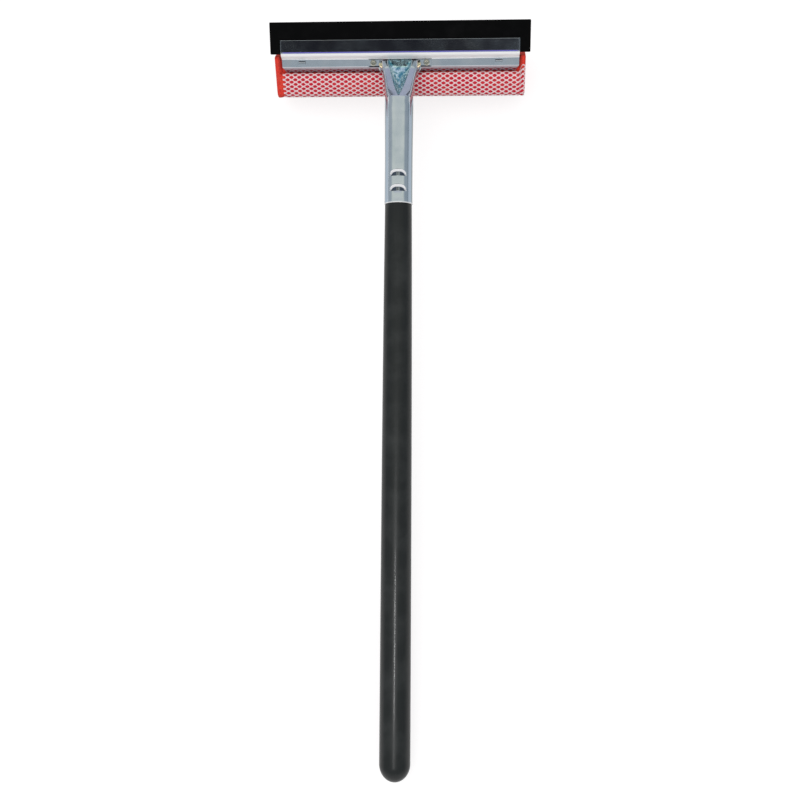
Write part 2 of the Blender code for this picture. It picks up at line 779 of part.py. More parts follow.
def make_net(material):
    """A diamond lattice, laid out flat and then wrapped round the foam."""
    lift = GAP + NET_THICKNESS / 2 + NET_LIFT
    squeezed = Course(lifted(wrap_outline(), lift))
    free = Course(lifted(freed(wrap_outline(), 1), lift))
    mesh = flat_lattice(NET_LEFT_END, NET_RIGHT_END, squeezed.length)
    # The last half pitch runs past the plates, over foam that they no longer squeeze.
    last = (NET_RIGHT_END - NET_LEFT_END) / NET_COLUMNS / 2
    for vertex in mesh.verts:
        x, across = vertex.co.x, vertex.co.y
        share = max(0.0, 1 - (NET_RIGHT_END - x) / last)
        tight = squeezed.at(across)
        loose = free.at(across * free.length / squeezed.length)
        up, out = mix(tight[0], loose[0], share), mix(tight[1], loose[1], share)
        vertex.co.y, vertex.co.z = WEB.at(up, out)
    net = piece("net", mesh, material)
    thicken(net, NET_THICKNESS)
    return net


def make_rivet(name, x, material):
    front = GAP + SOCKET_WALL + GAP
    head, shank, hollow = RIVET_HEAD_RADIUS, RIVET_RADIUS, RIVET_RECESS_RADIUS
    crest = (head + hollow) / 2
    profile = [
        (hollow, front - GAP),
        (hollow, front + RIVET_HEAD * 0.6),
        (crest, front + RIVET_HEAD),
        (head, front + RIVET_HEAD * 0.55),
        (head, front),
        (shank, front),
        (shank, RIVET_TAIL_OUT),
        (head, RIVET_TAIL_OUT),
        (head, RIVET_TAIL_OUT - RIVET_TAIL * 0.5),
        (head * 0.7, RIVET_TAIL_OUT - RIVET_TAIL),
    ]
    return piece(name, web_round(x, profile, RIVET_SIDES), material)


def cut_rivet_holes(objects, material):
    """One hole through each of these sheets for each rivet."""
    low, high = CHANNEL_FRONT, GAP + SOCKET_WALL + GAP
    for x, side in ((-RIVET_SPREAD, "left"), (RIVET_SPREAD, "right")):
        bore = RIVET_RADIUS + GAP
        drill = helper(
            "rivet_hole_" + side, web_round(x, [(bore, high), (bore, low)], RIVET_SIDES), material
        )
        for obj in objects:
            boolean(obj, drill, "DIFFERENCE")


def add_tabs(front_plate, back_plate, material):
    """The back plate's tabs: two that the rivets hold, two hooked through slots in the web."""
    root_up = TOP_WALL_UP + FOLD_BEND * 0.6
    lance_start = TAB_OUT - SHEET / 2 - GAP
    slot_up = HOOK_ABOVE_CENTRE
    face_out = GAP + SHEET / 2
    for side, name in ((-1, "left"), (1, "right")):
        x = side * RIVET_SPREAD
        tail = TAB_TAIL_ABOVE - WEB_HEIGHT / 2
        path = [WEB.at(root_up, TAB_OUT), WEB.at(tail, TAB_OUT)]
        tab = helper(
            "rivet_tab_" + name, strip(path, [(x - TAB_WIDTH / 2, x + TAB_WIDTH / 2)] * 2), material
        )
        thicken(tab, SHEET)
        length = TOP_WALL_UP - tail
        lance(back_plate, x, TAB_WIDTH, lance_start, length, "rivet_lance_" + name, material)
        boolean(back_plate, tab, "UNION")

        x = side * HOOK_TAB_SPREAD
        path = [
            WEB.at(root_up, TAB_OUT),
            WEB.at(slot_up, TAB_OUT),
            WEB.at(slot_up, face_out),
            WEB.at(slot_up - HOOK_FOLD, face_out),
        ]
        half = HOOK_TAB_WIDTH / 2
        hook = helper("hook_tab_" + name, strip(path, [(x - half, x + half)] * 4), material)
        thicken(hook, SHEET)
        slot = helper(
            "hook_slot_" + name,
            web_block(
                x,
                half + GAP,
                slot_up - SHEET / 2 - GAP,
                slot_up + SHEET / 2 + 2 * GAP,
                -SHEET - GAP,
                GAP,
            ),
            material,
        )
        boolean(front_plate, slot, "DIFFERENCE")
        length = TOP_WALL_UP - slot_up + face_out - TAB_OUT + HOOK_FOLD
        lance(back_plate, x, HOOK_TAB_WIDTH, lance_start, length, "hook_lance_" + name, material)
        boolean(back_plate, hook, "UNION")


def lance(plate, x, width, start, length, name, material):
    """Cuts the window in the top wall that a tab was bent out of."""
    window = web_block(
        x, width / 2, TOP_WALL_UP - SHEET, TOP_WALL_UP + SHEET, start - FOLD_BEND - length, start - FOLD_BEND
    )
    boolean(plate, helper(name, window, material), "DIFFERENCE")


def resting_tilt():
    """The handle's slope when the tool lies on its butt and the sponge's rear foot edge."""
    round_ = SPONGE_FOOT_CORNER
    rear = SPONGE_PROUD - SPONGE_THICKNESS
    y, z = WEB.at(SPONGE_TOP - SPONGE_HEIGHT + round_, rear + round_)
    radius = round_ + GAP + NET_THICKNESS + NET_LIFT
    butt_y = -(HANDLE_LENGTH - TENON_LENGTH - HANDLE_DOME_LENGTH)
    run, drop = y - butt_y, z + HANDLE_BUTT_RADIUS
    return math.asin(radius / math.hypot(run, drop)) - math.atan2(drop, run)


def lay_down(objects):
    """Parents every piece to one empty, tilts it to rest and centres it over the origin."""
    stand = bpy.data.objects.new("stand", None)
    bpy.context.collection.objects.link(stand)
    for obj in bpy.data.objects:
        if obj != stand:
            obj.parent = stand
    stand.rotation_euler = (resting_tilt(), 0, 0)
    bpy.context.view_layer.update()
    graph = bpy.context.evaluated_depsgraph_get()
    corners = []
    for obj in objects:
        shape = obj.evaluated_get(graph)
        corners += [shape.matrix_world @ vertex.co for vertex in shape.data.vertices]
    low_y, high_y = min(c.y for c in corners), max(c.y for c in corners)
    stand.location = (0, -(low_y + high_y) / 2, -min(c.z for c in corners))


def main():
    clear_scene()
    zinc = finish("zinc_plated_steel", (0.62, 0.66, 0.68), 0.22, 1.0)
    paint = finish("gloss_black_paint", (0.012, 0.013, 0.013), 0.12, 0.0)
    rubber = finish("black_rubber", (0.012, 0.012, 0.013), 0.55, 0.0)
    foam = finish("red_foam", (0.75, 0.045, 0.03), 0.9, 0.0)
    mesh_yarn = finish("white_net", (0.85, 0.74, 0.74), 0.6, 0.0)
    guide = finish("guide", (0.5, 0.5, 0.5), 0.5, 0.0)

    handle = make_handle(paint)
    socket = make_socket(zinc)
    front_plate = make_front_plate(zinc)
    back_plate = make_back_plate(zinc)
    add_tabs(front_plate, back_plate, guide)
    cut_rivet_holes([socket, front_plate, back_plate], guide)
    blade = make_blade(rubber)
    sponge = make_sponge(foam)
    net = make_net(mesh_yarn)
    rivets = [
        make_rivet("ear_rivet_left", -RIVET_SPREAD, zinc),
        make_rivet("ear_rivet_right", RIVET_SPREAD, zinc),
    ]
    lay_down([handle, socket, front_plate, back_plate, blade, sponge, net, *rivets])


main()
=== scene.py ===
"""A hand-held window squeegee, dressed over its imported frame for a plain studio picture.

Every piece is modelled in the tool's own frame, in metres: +Y runs up the handle from the
socket's rim to the head, +Z looks out of the blade's side, and the handle's axis is the
Y axis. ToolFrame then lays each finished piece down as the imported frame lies, on the sponge
and the handle's butt.
"""

from __future__ import annotations

import logging
import math
from collections.abc import Callable, Sequence
from dataclasses import dataclass, field
from enum import Enum

import bmesh
import bpy
import numpy as np
from mathutils import Matrix, Vector

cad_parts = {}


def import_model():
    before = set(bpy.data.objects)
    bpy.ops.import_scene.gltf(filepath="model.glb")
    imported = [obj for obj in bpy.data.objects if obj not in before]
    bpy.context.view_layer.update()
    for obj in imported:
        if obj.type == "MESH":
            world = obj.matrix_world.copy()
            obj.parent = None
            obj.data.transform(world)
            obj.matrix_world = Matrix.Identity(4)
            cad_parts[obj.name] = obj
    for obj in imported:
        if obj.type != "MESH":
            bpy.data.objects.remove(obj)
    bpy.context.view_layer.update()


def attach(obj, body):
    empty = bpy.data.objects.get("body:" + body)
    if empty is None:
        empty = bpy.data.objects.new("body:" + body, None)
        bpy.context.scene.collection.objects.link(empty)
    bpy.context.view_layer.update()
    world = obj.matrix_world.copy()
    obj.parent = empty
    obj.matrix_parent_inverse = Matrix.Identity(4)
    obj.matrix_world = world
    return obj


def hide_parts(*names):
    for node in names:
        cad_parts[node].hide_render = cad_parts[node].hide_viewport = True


LOG = logging.getLogger("squeegee")

Piece = bpy.types.Object
Wire = bpy.types.NodeSocket
Dot = bpy.types.MeshVertex
Point = tuple[float, float]
Colour = tuple[float, float, float]
Spot = tuple[float, float, float]
# A cloudy texture: its scale to the metre, detail, roughness and warp.
Cloud = tuple[float, ...]

# Shared sizes of the pressed head and of the clearances between its parts.
GAP = 0.0003
SHEET = 0.0009
HEAD_LENGTH = 0.1868
WEB_HEIGHT = 0.0064
SOCKET_RADIUS = 0.0108
SOCKET_WALL = 0.001
TENON_LENGTH = 0.062
TAB_OUT = -(SHEET + GAP + SHEET / 2)
RIVET_TAIL_OUT = TAB_OUT - SHEET / 2 - GAP
RIVET_TAIL = 0.0006
RIVET_SPREAD = 0.0209
FOLD_BEND = 0.0009
# Points closer than this are one.
TOUCH = 1e-6


class Side(Enum):
    """Left and right of the tool, as the blade's side is looked at."""

    LEFT = -1
    RIGHT = 1


# ------------------------------
# Small sums
# ------------------------------


def smooth(value: float) -> float:
    """An S-curve from 0 to 1."""
    value = min(max(value, 0.0), 1.0)
    return value * value * (3 - 2 * value)


def ramp(value: float, ease: float) -> float:
    """A straight rise from 0 to 1 that sets off gently over its first part."""
    value = min(max(value, 0.0), 1.0)
    risen = value * value / (2 * ease) if value < ease else value - ease / 2
    return risen / (1 - ease / 2)


def mix(low: float, high: float, share: float) -> float:
    """The value this share of the way from low to high."""
    return low + (high - low) * share


def eased(value: float, reach: float) -> float:
    """A value kept above 0 by a bend of this reach in place of a corner."""
    if value <= -reach:
        return 0.0
    return value if value >= reach else (value + reach) ** 2 / (4 * reach)


@dataclass(frozen=True)
class Place:
    """A point of the head's section with its own lean: up along the face, out to the front."""

    y: float
    z: float
    lean: float

    def at(self, up: float, out: float) -> Point:
        """The (y, z) point at these distances up the face and out of it."""
        return (
            self.y + up * math.cos(self.lean) - out * math.sin(self.lean),
            self.z + up * math.sin(self.lean) + out * math.cos(self.lean),
        )

    def of(self, point: Sequence[float]) -> Point:
        """The (up, out) distances of a (y, z) point.

        Args:
            point: The (y, z) point.

        Returns:
            Its distances up the face and out of it.
        """
        y, z = point[0] - self.y, point[1] - self.z
        return (
            y * math.cos(self.lean) + z * math.sin(self.lean),
            -y * math.sin(self.lean) + z * math.cos(self.lean),
        )

    def matrix(self) -> Matrix:
        """Turns local X, up, out into the tool's frame."""
        return Matrix.Translation((0, self.y, self.z)) @ Matrix.Rotation(self.lean, 4, "X")


WEB = Place(0.1142, -0.00925, math.radians(33))
BLADE = Place(0.1203, -0.0066, math.radians(18))


@dataclass(frozen=True)
class ToolFrame:
    """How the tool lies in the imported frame."""

    tilt: float = 0.078846
    rim_y: float = 0.150999
    rim_z: float = 0.046055

    def matrix(self) -> Matrix:
        """Turns the tool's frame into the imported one."""
        return Matrix.Translation((0, self.rim_y, self.rim_z)) @ Matrix.Rotation(self.tilt, 4, "X")

    def lay(self, piece: Piece) -> None:
        """Lays a finished piece down and puts its place into its mesh."""
        Bench.place(piece, self.matrix())


TOOL = ToolFrame()


# ------------------------------
# The bench: Blender's own operators, each on one piece
# ------------------------------


class Bench:
    """Modelling steps that work on one piece, alone in the selection."""

    @staticmethod
    def take(piece: Piece) -> None:
        """Makes this piece the only selected one, and the active one."""
        bpy.ops.object.select_all(action="DESELECT")
        piece.select_set(True)
        bpy.context.view_layer.objects.active = piece

    @staticmethod
    def named(name: str) -> Piece:
        """Names the primitive that was just added.

        Args:
            name: The name of the piece and its mesh.

        Returns:
            The piece.
        """
        piece = bpy.context.active_object
        piece.name = name
        piece.data.name = name
        return piece

    @staticmethod
    def edit(piece: Piece, mode: str = "VERT", whole: bool = False) -> None:
        """Opens a piece in edit mode.

        Args:
            piece: The piece to work on.
            mode: VERT, EDGE or FACE selection.
            whole: Selects all of the piece instead of nothing.
        """
        Bench.take(piece)
        bpy.ops.object.mode_set(mode="EDIT")
        bpy.ops.mesh.select_mode(type=mode)
        bpy.ops.mesh.select_all(action="SELECT" if whole else "DESELECT")

    @staticmethod
    def leave() -> None:
        """Goes back to object mode."""
        bpy.ops.object.mode_set(mode="OBJECT")

    @staticmethod
    def pick(kind: str, test: Callable[..., bool]) -> None:
        """Selects what a test accepts, in the piece that is open in edit mode.

        Args:
            kind: verts or edges.
            test: Tells from the place of a point, or of an edge's two ends.
        """
        data = bpy.context.active_object.data
        mesh = bmesh.from_edit_mesh(data)
        for element in getattr(mesh, kind):
            ends = [vertex.co for vertex in element.verts] if kind == "edges" else [element.co]
            if test(*ends):
                element.select_set(True)
        mesh.select_flush_mode()
        bmesh.update_edit_mesh(data)

    @staticmethod
    def place(piece: Piece, matrix: Matrix) -> None:
        """Turns and moves a piece, and puts that into its mesh."""
        Bench.take(piece)
        piece.matrix_world = matrix @ piece.matrix_world
        bpy.ops.object.transform_apply(location=True, rotation=True, scale=True)

    @staticmethod
    def modify(piece: Piece, kind: str, **settings: object) -> None:
        """Adds one modifier with these settings and applies it.

        Args:
            piece: The piece to change.
            kind: Blender's name of the modifier.
            **settings: The modifier's own fields.
        """
        Bench.take(piece)
        modifier = piece.modifiers.new(kind.lower(), kind)
        for name, value in settings.items():
            setattr(modifier, name, value)
        bpy.ops.object.modifier_apply(modifier=modifier.name)

    @staticmethod
    def combine(piece: Piece, other: Piece, operation: str) -> None:
        """Cuts one solid with another or joins them, and clears the other away.

        Args:
            piece: The piece to change.
            other: The piece that is used up.
            operation: DIFFERENCE or UNION.
        """
        Bench.modify(piece, "BOOLEAN", object=other, operation=operation, solver="EXACT")
        data = other.data
        bpy.data.objects.remove(other)
        bpy.data.meshes.remove(data)

    @staticmethod
    def wall(piece: Piece, thickness: float, offset: float) -> None:
        """Gives a sheet its thickness.

        Args:
            piece: The sheet.
            thickness: Its thickness in metres.
            offset: Where the wall lies: 0 on both sides, -1 behind the faces.
        """
        Bench.modify(
            piece,
            "SOLIDIFY",
            thickness=thickness,
            offset=offset,
            use_even_offset=True,
            use_quality_normals=True,
        )

    @staticmethod
    def ease_edges(piece: Piece, width: float) -> None:
        """Rounds a sheet's cut edges by a bevel of this width."""
        settings = {"limit_method": "ANGLE", "angle_limit": math.radians(60), "use_clamp_overlap": True}
        Bench.modify(piece, "BEVEL", width=width, segments=2, **settings)

    @staticmethod
    def shade(piece: Piece, angle: float, flat: bool = False) -> None:
        """Shades a piece smooth up to an angle.

        Args:
            piece: The piece to shade.
            angle: The angle in degrees.
            flat: Keeps large faces flat beside narrow bends.
        """
        Bench.take(piece)
        bpy.ops.object.shade_smooth_by_angle(angle=math.radians(angle))
        if flat:
            Bench.modify(piece, "WEIGHTED_NORMAL", weight=100, keep_sharp=True)

    @staticmethod
    def dress(piece: Piece, finish: bpy.types.Material, angle: float, flat: bool = False) -> None:
        """Gives a finished piece its material and shading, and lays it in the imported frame.

        Args:
            piece: The piece, still in the tool's own frame.
            finish: Its material.
            angle: The shading angle in degrees.
            flat: Keeps large faces flat beside narrow bends.
        """
        piece.data.materials.append(finish)
        Bench.shade(piece, angle, flat)
        TOOL.lay(piece)

    @staticmethod
    def flip(piece: Piece) -> None:
        """Turns all of a piece's faces round."""
        Bench.edit(piece, whole=True)
        bpy.ops.mesh.flip_normals()
        Bench.leave()

    @staticmethod
    def mark(piece: Piece, name: str, share: Callable[[Dot], float]) -> None:
        """Records a value at each point, for the finish to read.

        Args:
            piece: The piece to mark.
            name: The name of the value.
            share: Gives the value of a point.
        """
        layer = piece.data.attributes.new(name, "FLOAT", "POINT")
        layer.data.foreach_set("value", [share(vertex) for vertex in piece.data.vertices])

    @staticmethod
    def outward(piece: Piece) -> None:
        """Merges doubled points and turns a closed shape's faces to the outside.

        Args:
            piece: The closed piece.
        """
        Bench.edit(piece, whole=True)
        bpy.ops.mesh.remove_doubles(threshold=TOUCH)
        bpy.ops.mesh.normals_make_consistent(inside=False)
        Bench.leave()

    @staticmethod
    def turned(name: str, profile: Sequence[Point], sides: int) -> Piece:
        """Turns a closed shape on the Z axis, ring by ring, as on a lathe.

        Args:
            name: The new piece's name.
            profile: Its (radius, height) points from one end to the other.
            sides: Faces round the shape.

        Returns:
            The piece, with both ends closed.
        """
        bpy.ops.object.select_all(action="DESELECT")
        first_radius, first_height = profile[0]
        bpy.ops.mesh.primitive_circle_add(
            vertices=sides, radius=first_radius, fill_type="NOTHING", location=(0, 0, first_height)
        )
        piece = Bench.named(name)
        Bench.place(piece, Matrix.Identity(4))
        Bench.edit(piece, whole=True)
        for (radius, height), (wider, higher) in zip(profile, profile[1:]):
            bpy.ops.mesh.extrude_region_move(TRANSFORM_OT_translate={"value": (0, 0, higher - height)})
            share = wider / radius
            bpy.ops.transform.resize(value=(share, share, 1), center_override=(0, 0, higher))
        bpy.ops.mesh.edge_face_add()
        bpy.ops.mesh.select_all(action="DESELECT")
        bpy.ops.mesh.select_non_manifold()
        bpy.ops.mesh.edge_face_add()
        Bench.leave()
        Bench.outward(piece)
        return piece

    @staticmethod
    def folded(name: str, path: Sequence[Point], half: float, middle_x: float = 0.0) -> Piece:
        """Folds a strip of sheet along a path, one extrusion of its edge for each point.

        Args:
            name: The new piece's name.
            path: The (y, z) points that the sheet's middle passes.
            half: Half the strip's width.
            middle_x: Where the strip's middle lies.

        Returns:
            The sheet, with no thickness yet.
        """
        bpy.ops.object.select_all(action="DESELECT")
        bpy.ops.mesh.primitive_plane_add(size=1)
        piece = Bench.named(name)
        corners = [(middle_x - half, *path[0]), (middle_x + half, *path[0])]
        Bench.edit(piece)
        Bench.pick("verts", lambda at: at.y > 0)
        bpy.ops.mesh.delete(type="VERT")
        mesh = bmesh.from_edit_mesh(piece.data)
        mesh.verts.ensure_lookup_table()
        for vertex, corner in zip(sorted(mesh.verts, key=lambda v: v.co.x), corners):
            vertex.co = corner
        bmesh.update_edit_mesh(piece.data)
        bpy.ops.mesh.select_all(action="SELECT")
        for (y, z), (next_y, next_z) in zip(path, path[1:]):
            step = (0, next_y - y, next_z - z)
            bpy.ops.mesh.extrude_region_move(TRANSFORM_OT_translate={"value": step})
        bpy.ops.mesh.select_all(action="SELECT")
        bpy.ops.mesh.normals_make_consistent(inside=False)
        Bench.leave()
        return piece

    @staticmethod
    def block(name: str, low: Vector, high: Vector) -> Piece:
        """A box between two corners, as a cutter.

        Args:
            name: The box's name.
            low: Its lowest corner.
            high: Its highest corner.

        Returns:
            The box.
        """
        bpy.ops.object.select_all(action="DESELECT")
        bpy.ops.mesh.primitive_cube_add(size=1, location=(low + high) / 2, scale=high - low)
        piece = Bench.named(name)
        bpy.ops.object.transform_apply(location=True, rotation=True, scale=True)
        return piece

    @staticmethod
    def web(name: str, columns: int, rows: int, point: Callable[[float, float], Spot]) -> Piece:
        """A grid whose points are pressed to a surface.

        Args:
            name: The new piece's name.
            columns: Faces along the first direction.
            rows: Faces along the second.
            point: Gives the place for two shares from 0 to 1.

        Returns:
            The pressed grid.
        """
        bpy.ops.object.select_all(action="DESELECT")
        bpy.ops.mesh.primitive_grid_add(x_subdivisions=columns, y_subdivisions=rows, size=1)
        piece = Bench.named(name)
        for vertex in piece.data.vertices:
            vertex.co = point(vertex.co.x + 0.5, vertex.co.y + 0.5)
        piece.data.update()
        return piece


def bent_path(corners: Sequence[Point], radii: Sequence[float], steps: int = 8) -> list[Point]:
    """Rounds each inner corner of a polyline with an arc.

    Args:
        corners: The polyline's points.
        radii: The radius of each inner corner's arc.
        steps: Segments in each arc.

    Returns:
        The rounded polyline.
    """
    points = [Vector(corners[0])]
    for before, corner, after, radius in zip(corners, corners[1:], corners[2:], radii):
        here = Vector(corner)
        back = (Vector(before) - here).normalized()
        ahead = (Vector(after) - here).normalized()
        half_turn = (math.pi - back.angle(ahead)) / 2
        centre = here + (back + ahead).normalized() * (radius / math.cos(half_turn))
        start = here + back * (radius * math.tan(half_turn)) - centre
        turn = 2 * half_turn * math.copysign(1, ahead.cross(back))
        for step in range(steps + 1):
            points.append(centre + Matrix.Rotation(turn * step / steps, 2) @ start)
    points.append(Vector(corners[-1]))
    return [(point.x, point.y) for point in points]


# ------------------------------
# Finishes
# ------------------------------


class Nodes:
    """A node tree in the making."""

    def __init__(self, tree: bpy.types.NodeTree) -> None:
        """Takes the tree that the nodes go into."""
        self.tree = tree

    def feed(self, socket: Wire, value: object) -> None:
        """Links one input to another node, or sets it.

        Args:
            socket: The input.
            value: Another node's output, or a plain value.
        """
        if isinstance(value, Wire):
            self.tree.links.new(value, socket)
        elif socket.type == "RGBA" and len(value) == 3:
            socket.default_value = (*value, 1)
        else:
            socket.default_value = value

    def node(self, kind: str, **inputs: object) -> bpy.types.Node:
        """Adds a node and feeds its inputs.

        Args:
            kind: The node's type, without its ShaderNode prefix.
            **inputs: Its inputs by name, with underscores for spaces.

        Returns:
            The new node.
        """
        made = self.tree.nodes.new("ShaderNode" + kind)
        for name, value in inputs.items():
            self.feed(made.inputs[name.replace("_", " ")], value)
        return made

    def step(self, kind: str, operation: str, first: object, second: object) -> bpy.types.Node:
        """One step of arithmetic, between numbers by Math or between vectors by VectorMath.

        Args:
            kind: Math or VectorMath.
            operation: The sum to do.
            first: The first value.
            second: The second value.

        Returns:
            The node.
        """
        made = self.node(kind)
        made.operation = operation
        self.feed(made.inputs[0], first)
        self.feed(made.inputs[1], second)
        return made

    def sum(self, operation: str, first: object, second: object) -> Wire:
        """One step of arithmetic between two numbers."""
        return self.step("Math", operation, first, second).outputs[0]

    def blend(self, share: object, first: object, second: object) -> Wire:
        """A mix of two colours.

        Args:
            share: How much of the second.
            first: The first colour.
            second: The second colour.

        Returns:
            The mixed colour.
        """
        made = self.node("Mix")
        made.data_type = "RGBA"
        self.feed(made.inputs["Factor"], share)
        for name, value in (("A", first), ("B", second)):
            self.feed(next(s for s in made.inputs if s.name == name and s.type == "RGBA"), value)
        return next(s for s in made.outputs if s.type == "RGBA")

    def shaders(self, kind: str, *values: object) -> Wire:
        """A node that joins shaders, with its inputs in their order.

        Args:
            kind: AddShader or MixShader.
            *values: Its inputs.

        Returns:
            The joined shader.
        """
        made = self.node(kind)
        for socket, value in zip(made.inputs, values):
            self.feed(socket, value)
        return made.outputs[0]


class Recipe(Nodes):
    """A material in the making: its node tree, and the shader that the nodes feed."""

    def __init__(self, name: str) -> None:
        """Starts a material with this name."""
        self.material = bpy.data.materials.new(name)
        self.material.use_nodes = True
        super().__init__(self.material.node_tree)
        self.shader = self.tree.nodes["Principled BSDF"]

    def finish(self, **sockets: object) -> bpy.types.Material:
        """Feeds the shader.

        Args:
            **sockets: The shader's inputs by name, with underscores for spaces.

        Returns:
            The material.
        """
        for name, value in sockets.items():
            self.feed(self.shader.inputs[name.replace("_", " ")], value)
        return self.material

    def position(self, stretch: Spot = (1, 1, 1)) -> Wire:
        """The tool's own coordinates, stretched: X along the head, Y up the handle."""
        where = self.node("TexCoord").outputs["Object"]
        turned = self.node("Mapping", Vector=where, Rotation=(-TOOL.tilt, 0, 0))
        return self.node("Mapping", Vector=turned.outputs[0], Scale=stretch).outputs[0]

    def attribute(self, name: str) -> Wire:
        """A value that the piece carries point by point, 0 where it has none."""
        made = self.node("Attribute")
        made.attribute_name = name
        return made.outputs["Fac"]

    def noise(
        self, where: Wire, scale: float, detail: float, roughness: float, warp: float = 0
    ) -> Wire:
        """A cloudy value from 0 to 1."""
        inputs = {"Scale": scale, "Detail": detail, "Roughness": roughness, "Distortion": warp}
        return self.node("TexNoise", Vector=where, **inputs).outputs["Fac"]

    def cells(self, where: Wire, scale: float) -> Wire:
        """A cellular value: the distance to the nearest cell's middle."""
        return self.node("TexVoronoi", Vector=where, Scale=scale).outputs["Distance"]

    def span(
        self, value: Wire, low: float, high: float, to_low: float = 0, to_high: float = 1
    ) -> Wire:
        """Maps a value from one span to another, held at its ends."""
        ends = {"From_Min": low, "From_Max": high, "To_Min": to_low, "To_Max": to_high}
        return self.node("MapRange", Value=value, **ends).outputs["Result"]

    def bump(
        self, height: Wire, depth: float, strength: float = 1, over: object = None
    ) -> Wire:
        """A relief of this depth in metres, over an earlier one.

        Args:
            height: The height, from 0 to 1.
            depth: The depth in metres.
            strength: The share of it that shows.
            over: The earlier relief.

        Returns:
            The new surface direction.
        """
        made = self.node("Bump", Height=height, Distance=depth, Strength=strength)
        if over is not None:
            self.feed(made.inputs["Normal"], over)
        return made.outputs["Normal"]


@dataclass(frozen=True)
class ZincPlate:
    """Bright zinc plate on pressed sheet: cool grey and teal in the pressed V, with painted shade, highlights
    and reflections laid on by the piece's marks.
    """

    name: str = "bright_zinc_plate"
    bright: Colour = (0.70, 0.73, 0.76)
    dull: Colour = (0.58, 0.63, 0.67)
    straw: Colour = (0.74, 0.71, 0.64)
    # Painted brass highlight for the knobs at the arms' tops.
    brass: Colour = (0.95, 0.82, 0.52)
    # The V's passivation teal under painted shade, and its painted highlight facets.
    shaded_teal: Colour = (0.12, 0.36, 0.45)
    highlight_teal: Colour = (0.78, 0.98, 1.0)
    # Painted shade for the tube's rounded sides, and a darker painted shade for its outermost edges.
    tube_side_shade: Colour = (0.33, 0.40, 0.47)
    rim: Colour = (0.14, 0.17, 0.165)
    roughness: Point = (0.09, 0.19)
    cloud: Cloud = (70, 3, 0.55)
    stain: Cloud = (28, 2, 0.5, 0.6)
    folds: Cloud = (330, 1.5, 0.45, 0.8)
    bloom: Cloud = (900, 3, 0.6)
    waves: Cloud = (42, 1.5, 0.4)
    scratches: Cloud = (2600, 2, 0.6)
    waviness: float = 0.00003
    # Painted white highlight for the socket's cut rim, the dents' walls and the front plate's riser.
    wear_and_highlight: Colour = (0.96, 0.96, 0.97)
    # Painted mauve shade for the turned lip, which faces down at the net.
    shaded_lip: Colour = (0.32, 0.28, 0.31)
    # A flat painted shade tone for the V's deepest floor.
    deep_shade_teal: Colour = (0.42, 0.60, 0.64)
    # Painted shade for the dents' floors.
    dent_shade: Colour = (0.10, 0.12, 0.16)
    # Painted violet fringe of a highlight along the grip's bend.
    violet_reflection: Colour = (0.06, 0.01, 0.80)
    fold_depth: float = 0.0006
    scratch_depth: float = 0.000002

    def make(self) -> bpy.types.Material:
        """Builds the material."""
        recipe = Recipe(self.name)
        where = recipe.position()
        cloud = recipe.noise(where, *self.cloud)
        body = recipe.blend(recipe.span(cloud, 0.35, 0.7), self.bright, self.dull)
        stain = recipe.noise(where, *self.stain)
        body = recipe.blend(recipe.span(stain, 0.5, 0.8, 0, 0.5), body, self.straw)
        # Painted shade: the tube's sides turn blue-grey, and its outermost edges near black.
        side_shade_share = recipe.attribute("tube_side_shade")
        body = recipe.blend(recipe.span(side_shade_share, 0.04, 0.22), body, self.tube_side_shade)
        body = recipe.blend(recipe.span(side_shade_share, 0.50, 0.72), body, self.rim)
        # The V's teal is partly the passivation's own colour and partly painted shade; its pale teal facets
        # are painted highlights.
        pressed = recipe.attribute("pressed")
        folds = recipe.noise(where, *self.folds)
        deep = recipe.blend(recipe.span(folds, 0.38, 0.62), self.shaded_teal, self.highlight_teal)
        body = recipe.blend(pressed, body, deep)
        # Painted shade: the V's deepest floor is laid over with one flat teal.
        deep_v_shade, violet_glint = recipe.attribute("deep"), recipe.attribute("violet_reflection")
        body = recipe.blend(deep_v_shade, body, self.deep_shade_teal)
        # Painted shade on the dents' floors, beside their lighter middles.
        body = recipe.blend(recipe.attribute("dent_shade"), body, self.dent_shade)
        # Painted shade: the front plate's lip darkens to mauve.
        body = recipe.blend(recipe.attribute("shaded_lip"), body, self.shaded_lip)
        # Painted highlight: these places are whitened and made rough.
        wear_and_highlight = recipe.attribute("wear_and_highlight")
        body = recipe.blend(wear_and_highlight, body, self.wear_and_highlight)
        # Painted reflection: a violet fringe along the start of the grip's bend.
        body = recipe.blend(violet_glint, body, self.violet_reflection)
        # Painted highlight: the knobs are laid over with a bright brass.
        body = recipe.blend(recipe.attribute("knob"), body, self.brass)
        # Where a highlight, the deep V's shade or the violet fringe is painted, the skin scatters light
        # instead of mirroring it.
        shares = [recipe.sum("MULTIPLY", *pair) for pair in ((wear_and_highlight, 0.85), (deep_v_shade, 0.15), (violet_glint, 0.9))]
        matt = recipe.sum("MAXIMUM", recipe.sum("MAXIMUM", *shares[:2]), shares[2])
        metal = recipe.sum("SUBTRACT", 1.0, matt)
        bloom = recipe.span(recipe.noise(where, *self.bloom), 0.5, 0.8, 0, 0.05)
        rough = recipe.sum("ADD", recipe.span(cloud, 0.3, 0.75, *self.roughness), bloom)
        rough = recipe.sum("ADD", rough, recipe.sum("MULTIPLY", wear_and_highlight, 0.28))
        wavy = recipe.bump(recipe.noise(where, *self.waves), self.waviness)
        folded = recipe.bump(recipe.sum("MULTIPLY", folds, pressed), self.fold_depth, 1, wavy)
        streaks = recipe.noise(recipe.position((1, 0.05, 1)), *self.scratches)
        relief = recipe.bump(streaks, self.scratch_depth, 0.5, folded)
        return recipe.finish(Base_Color=body, Metallic=metal, Roughness=rough, Normal=relief)


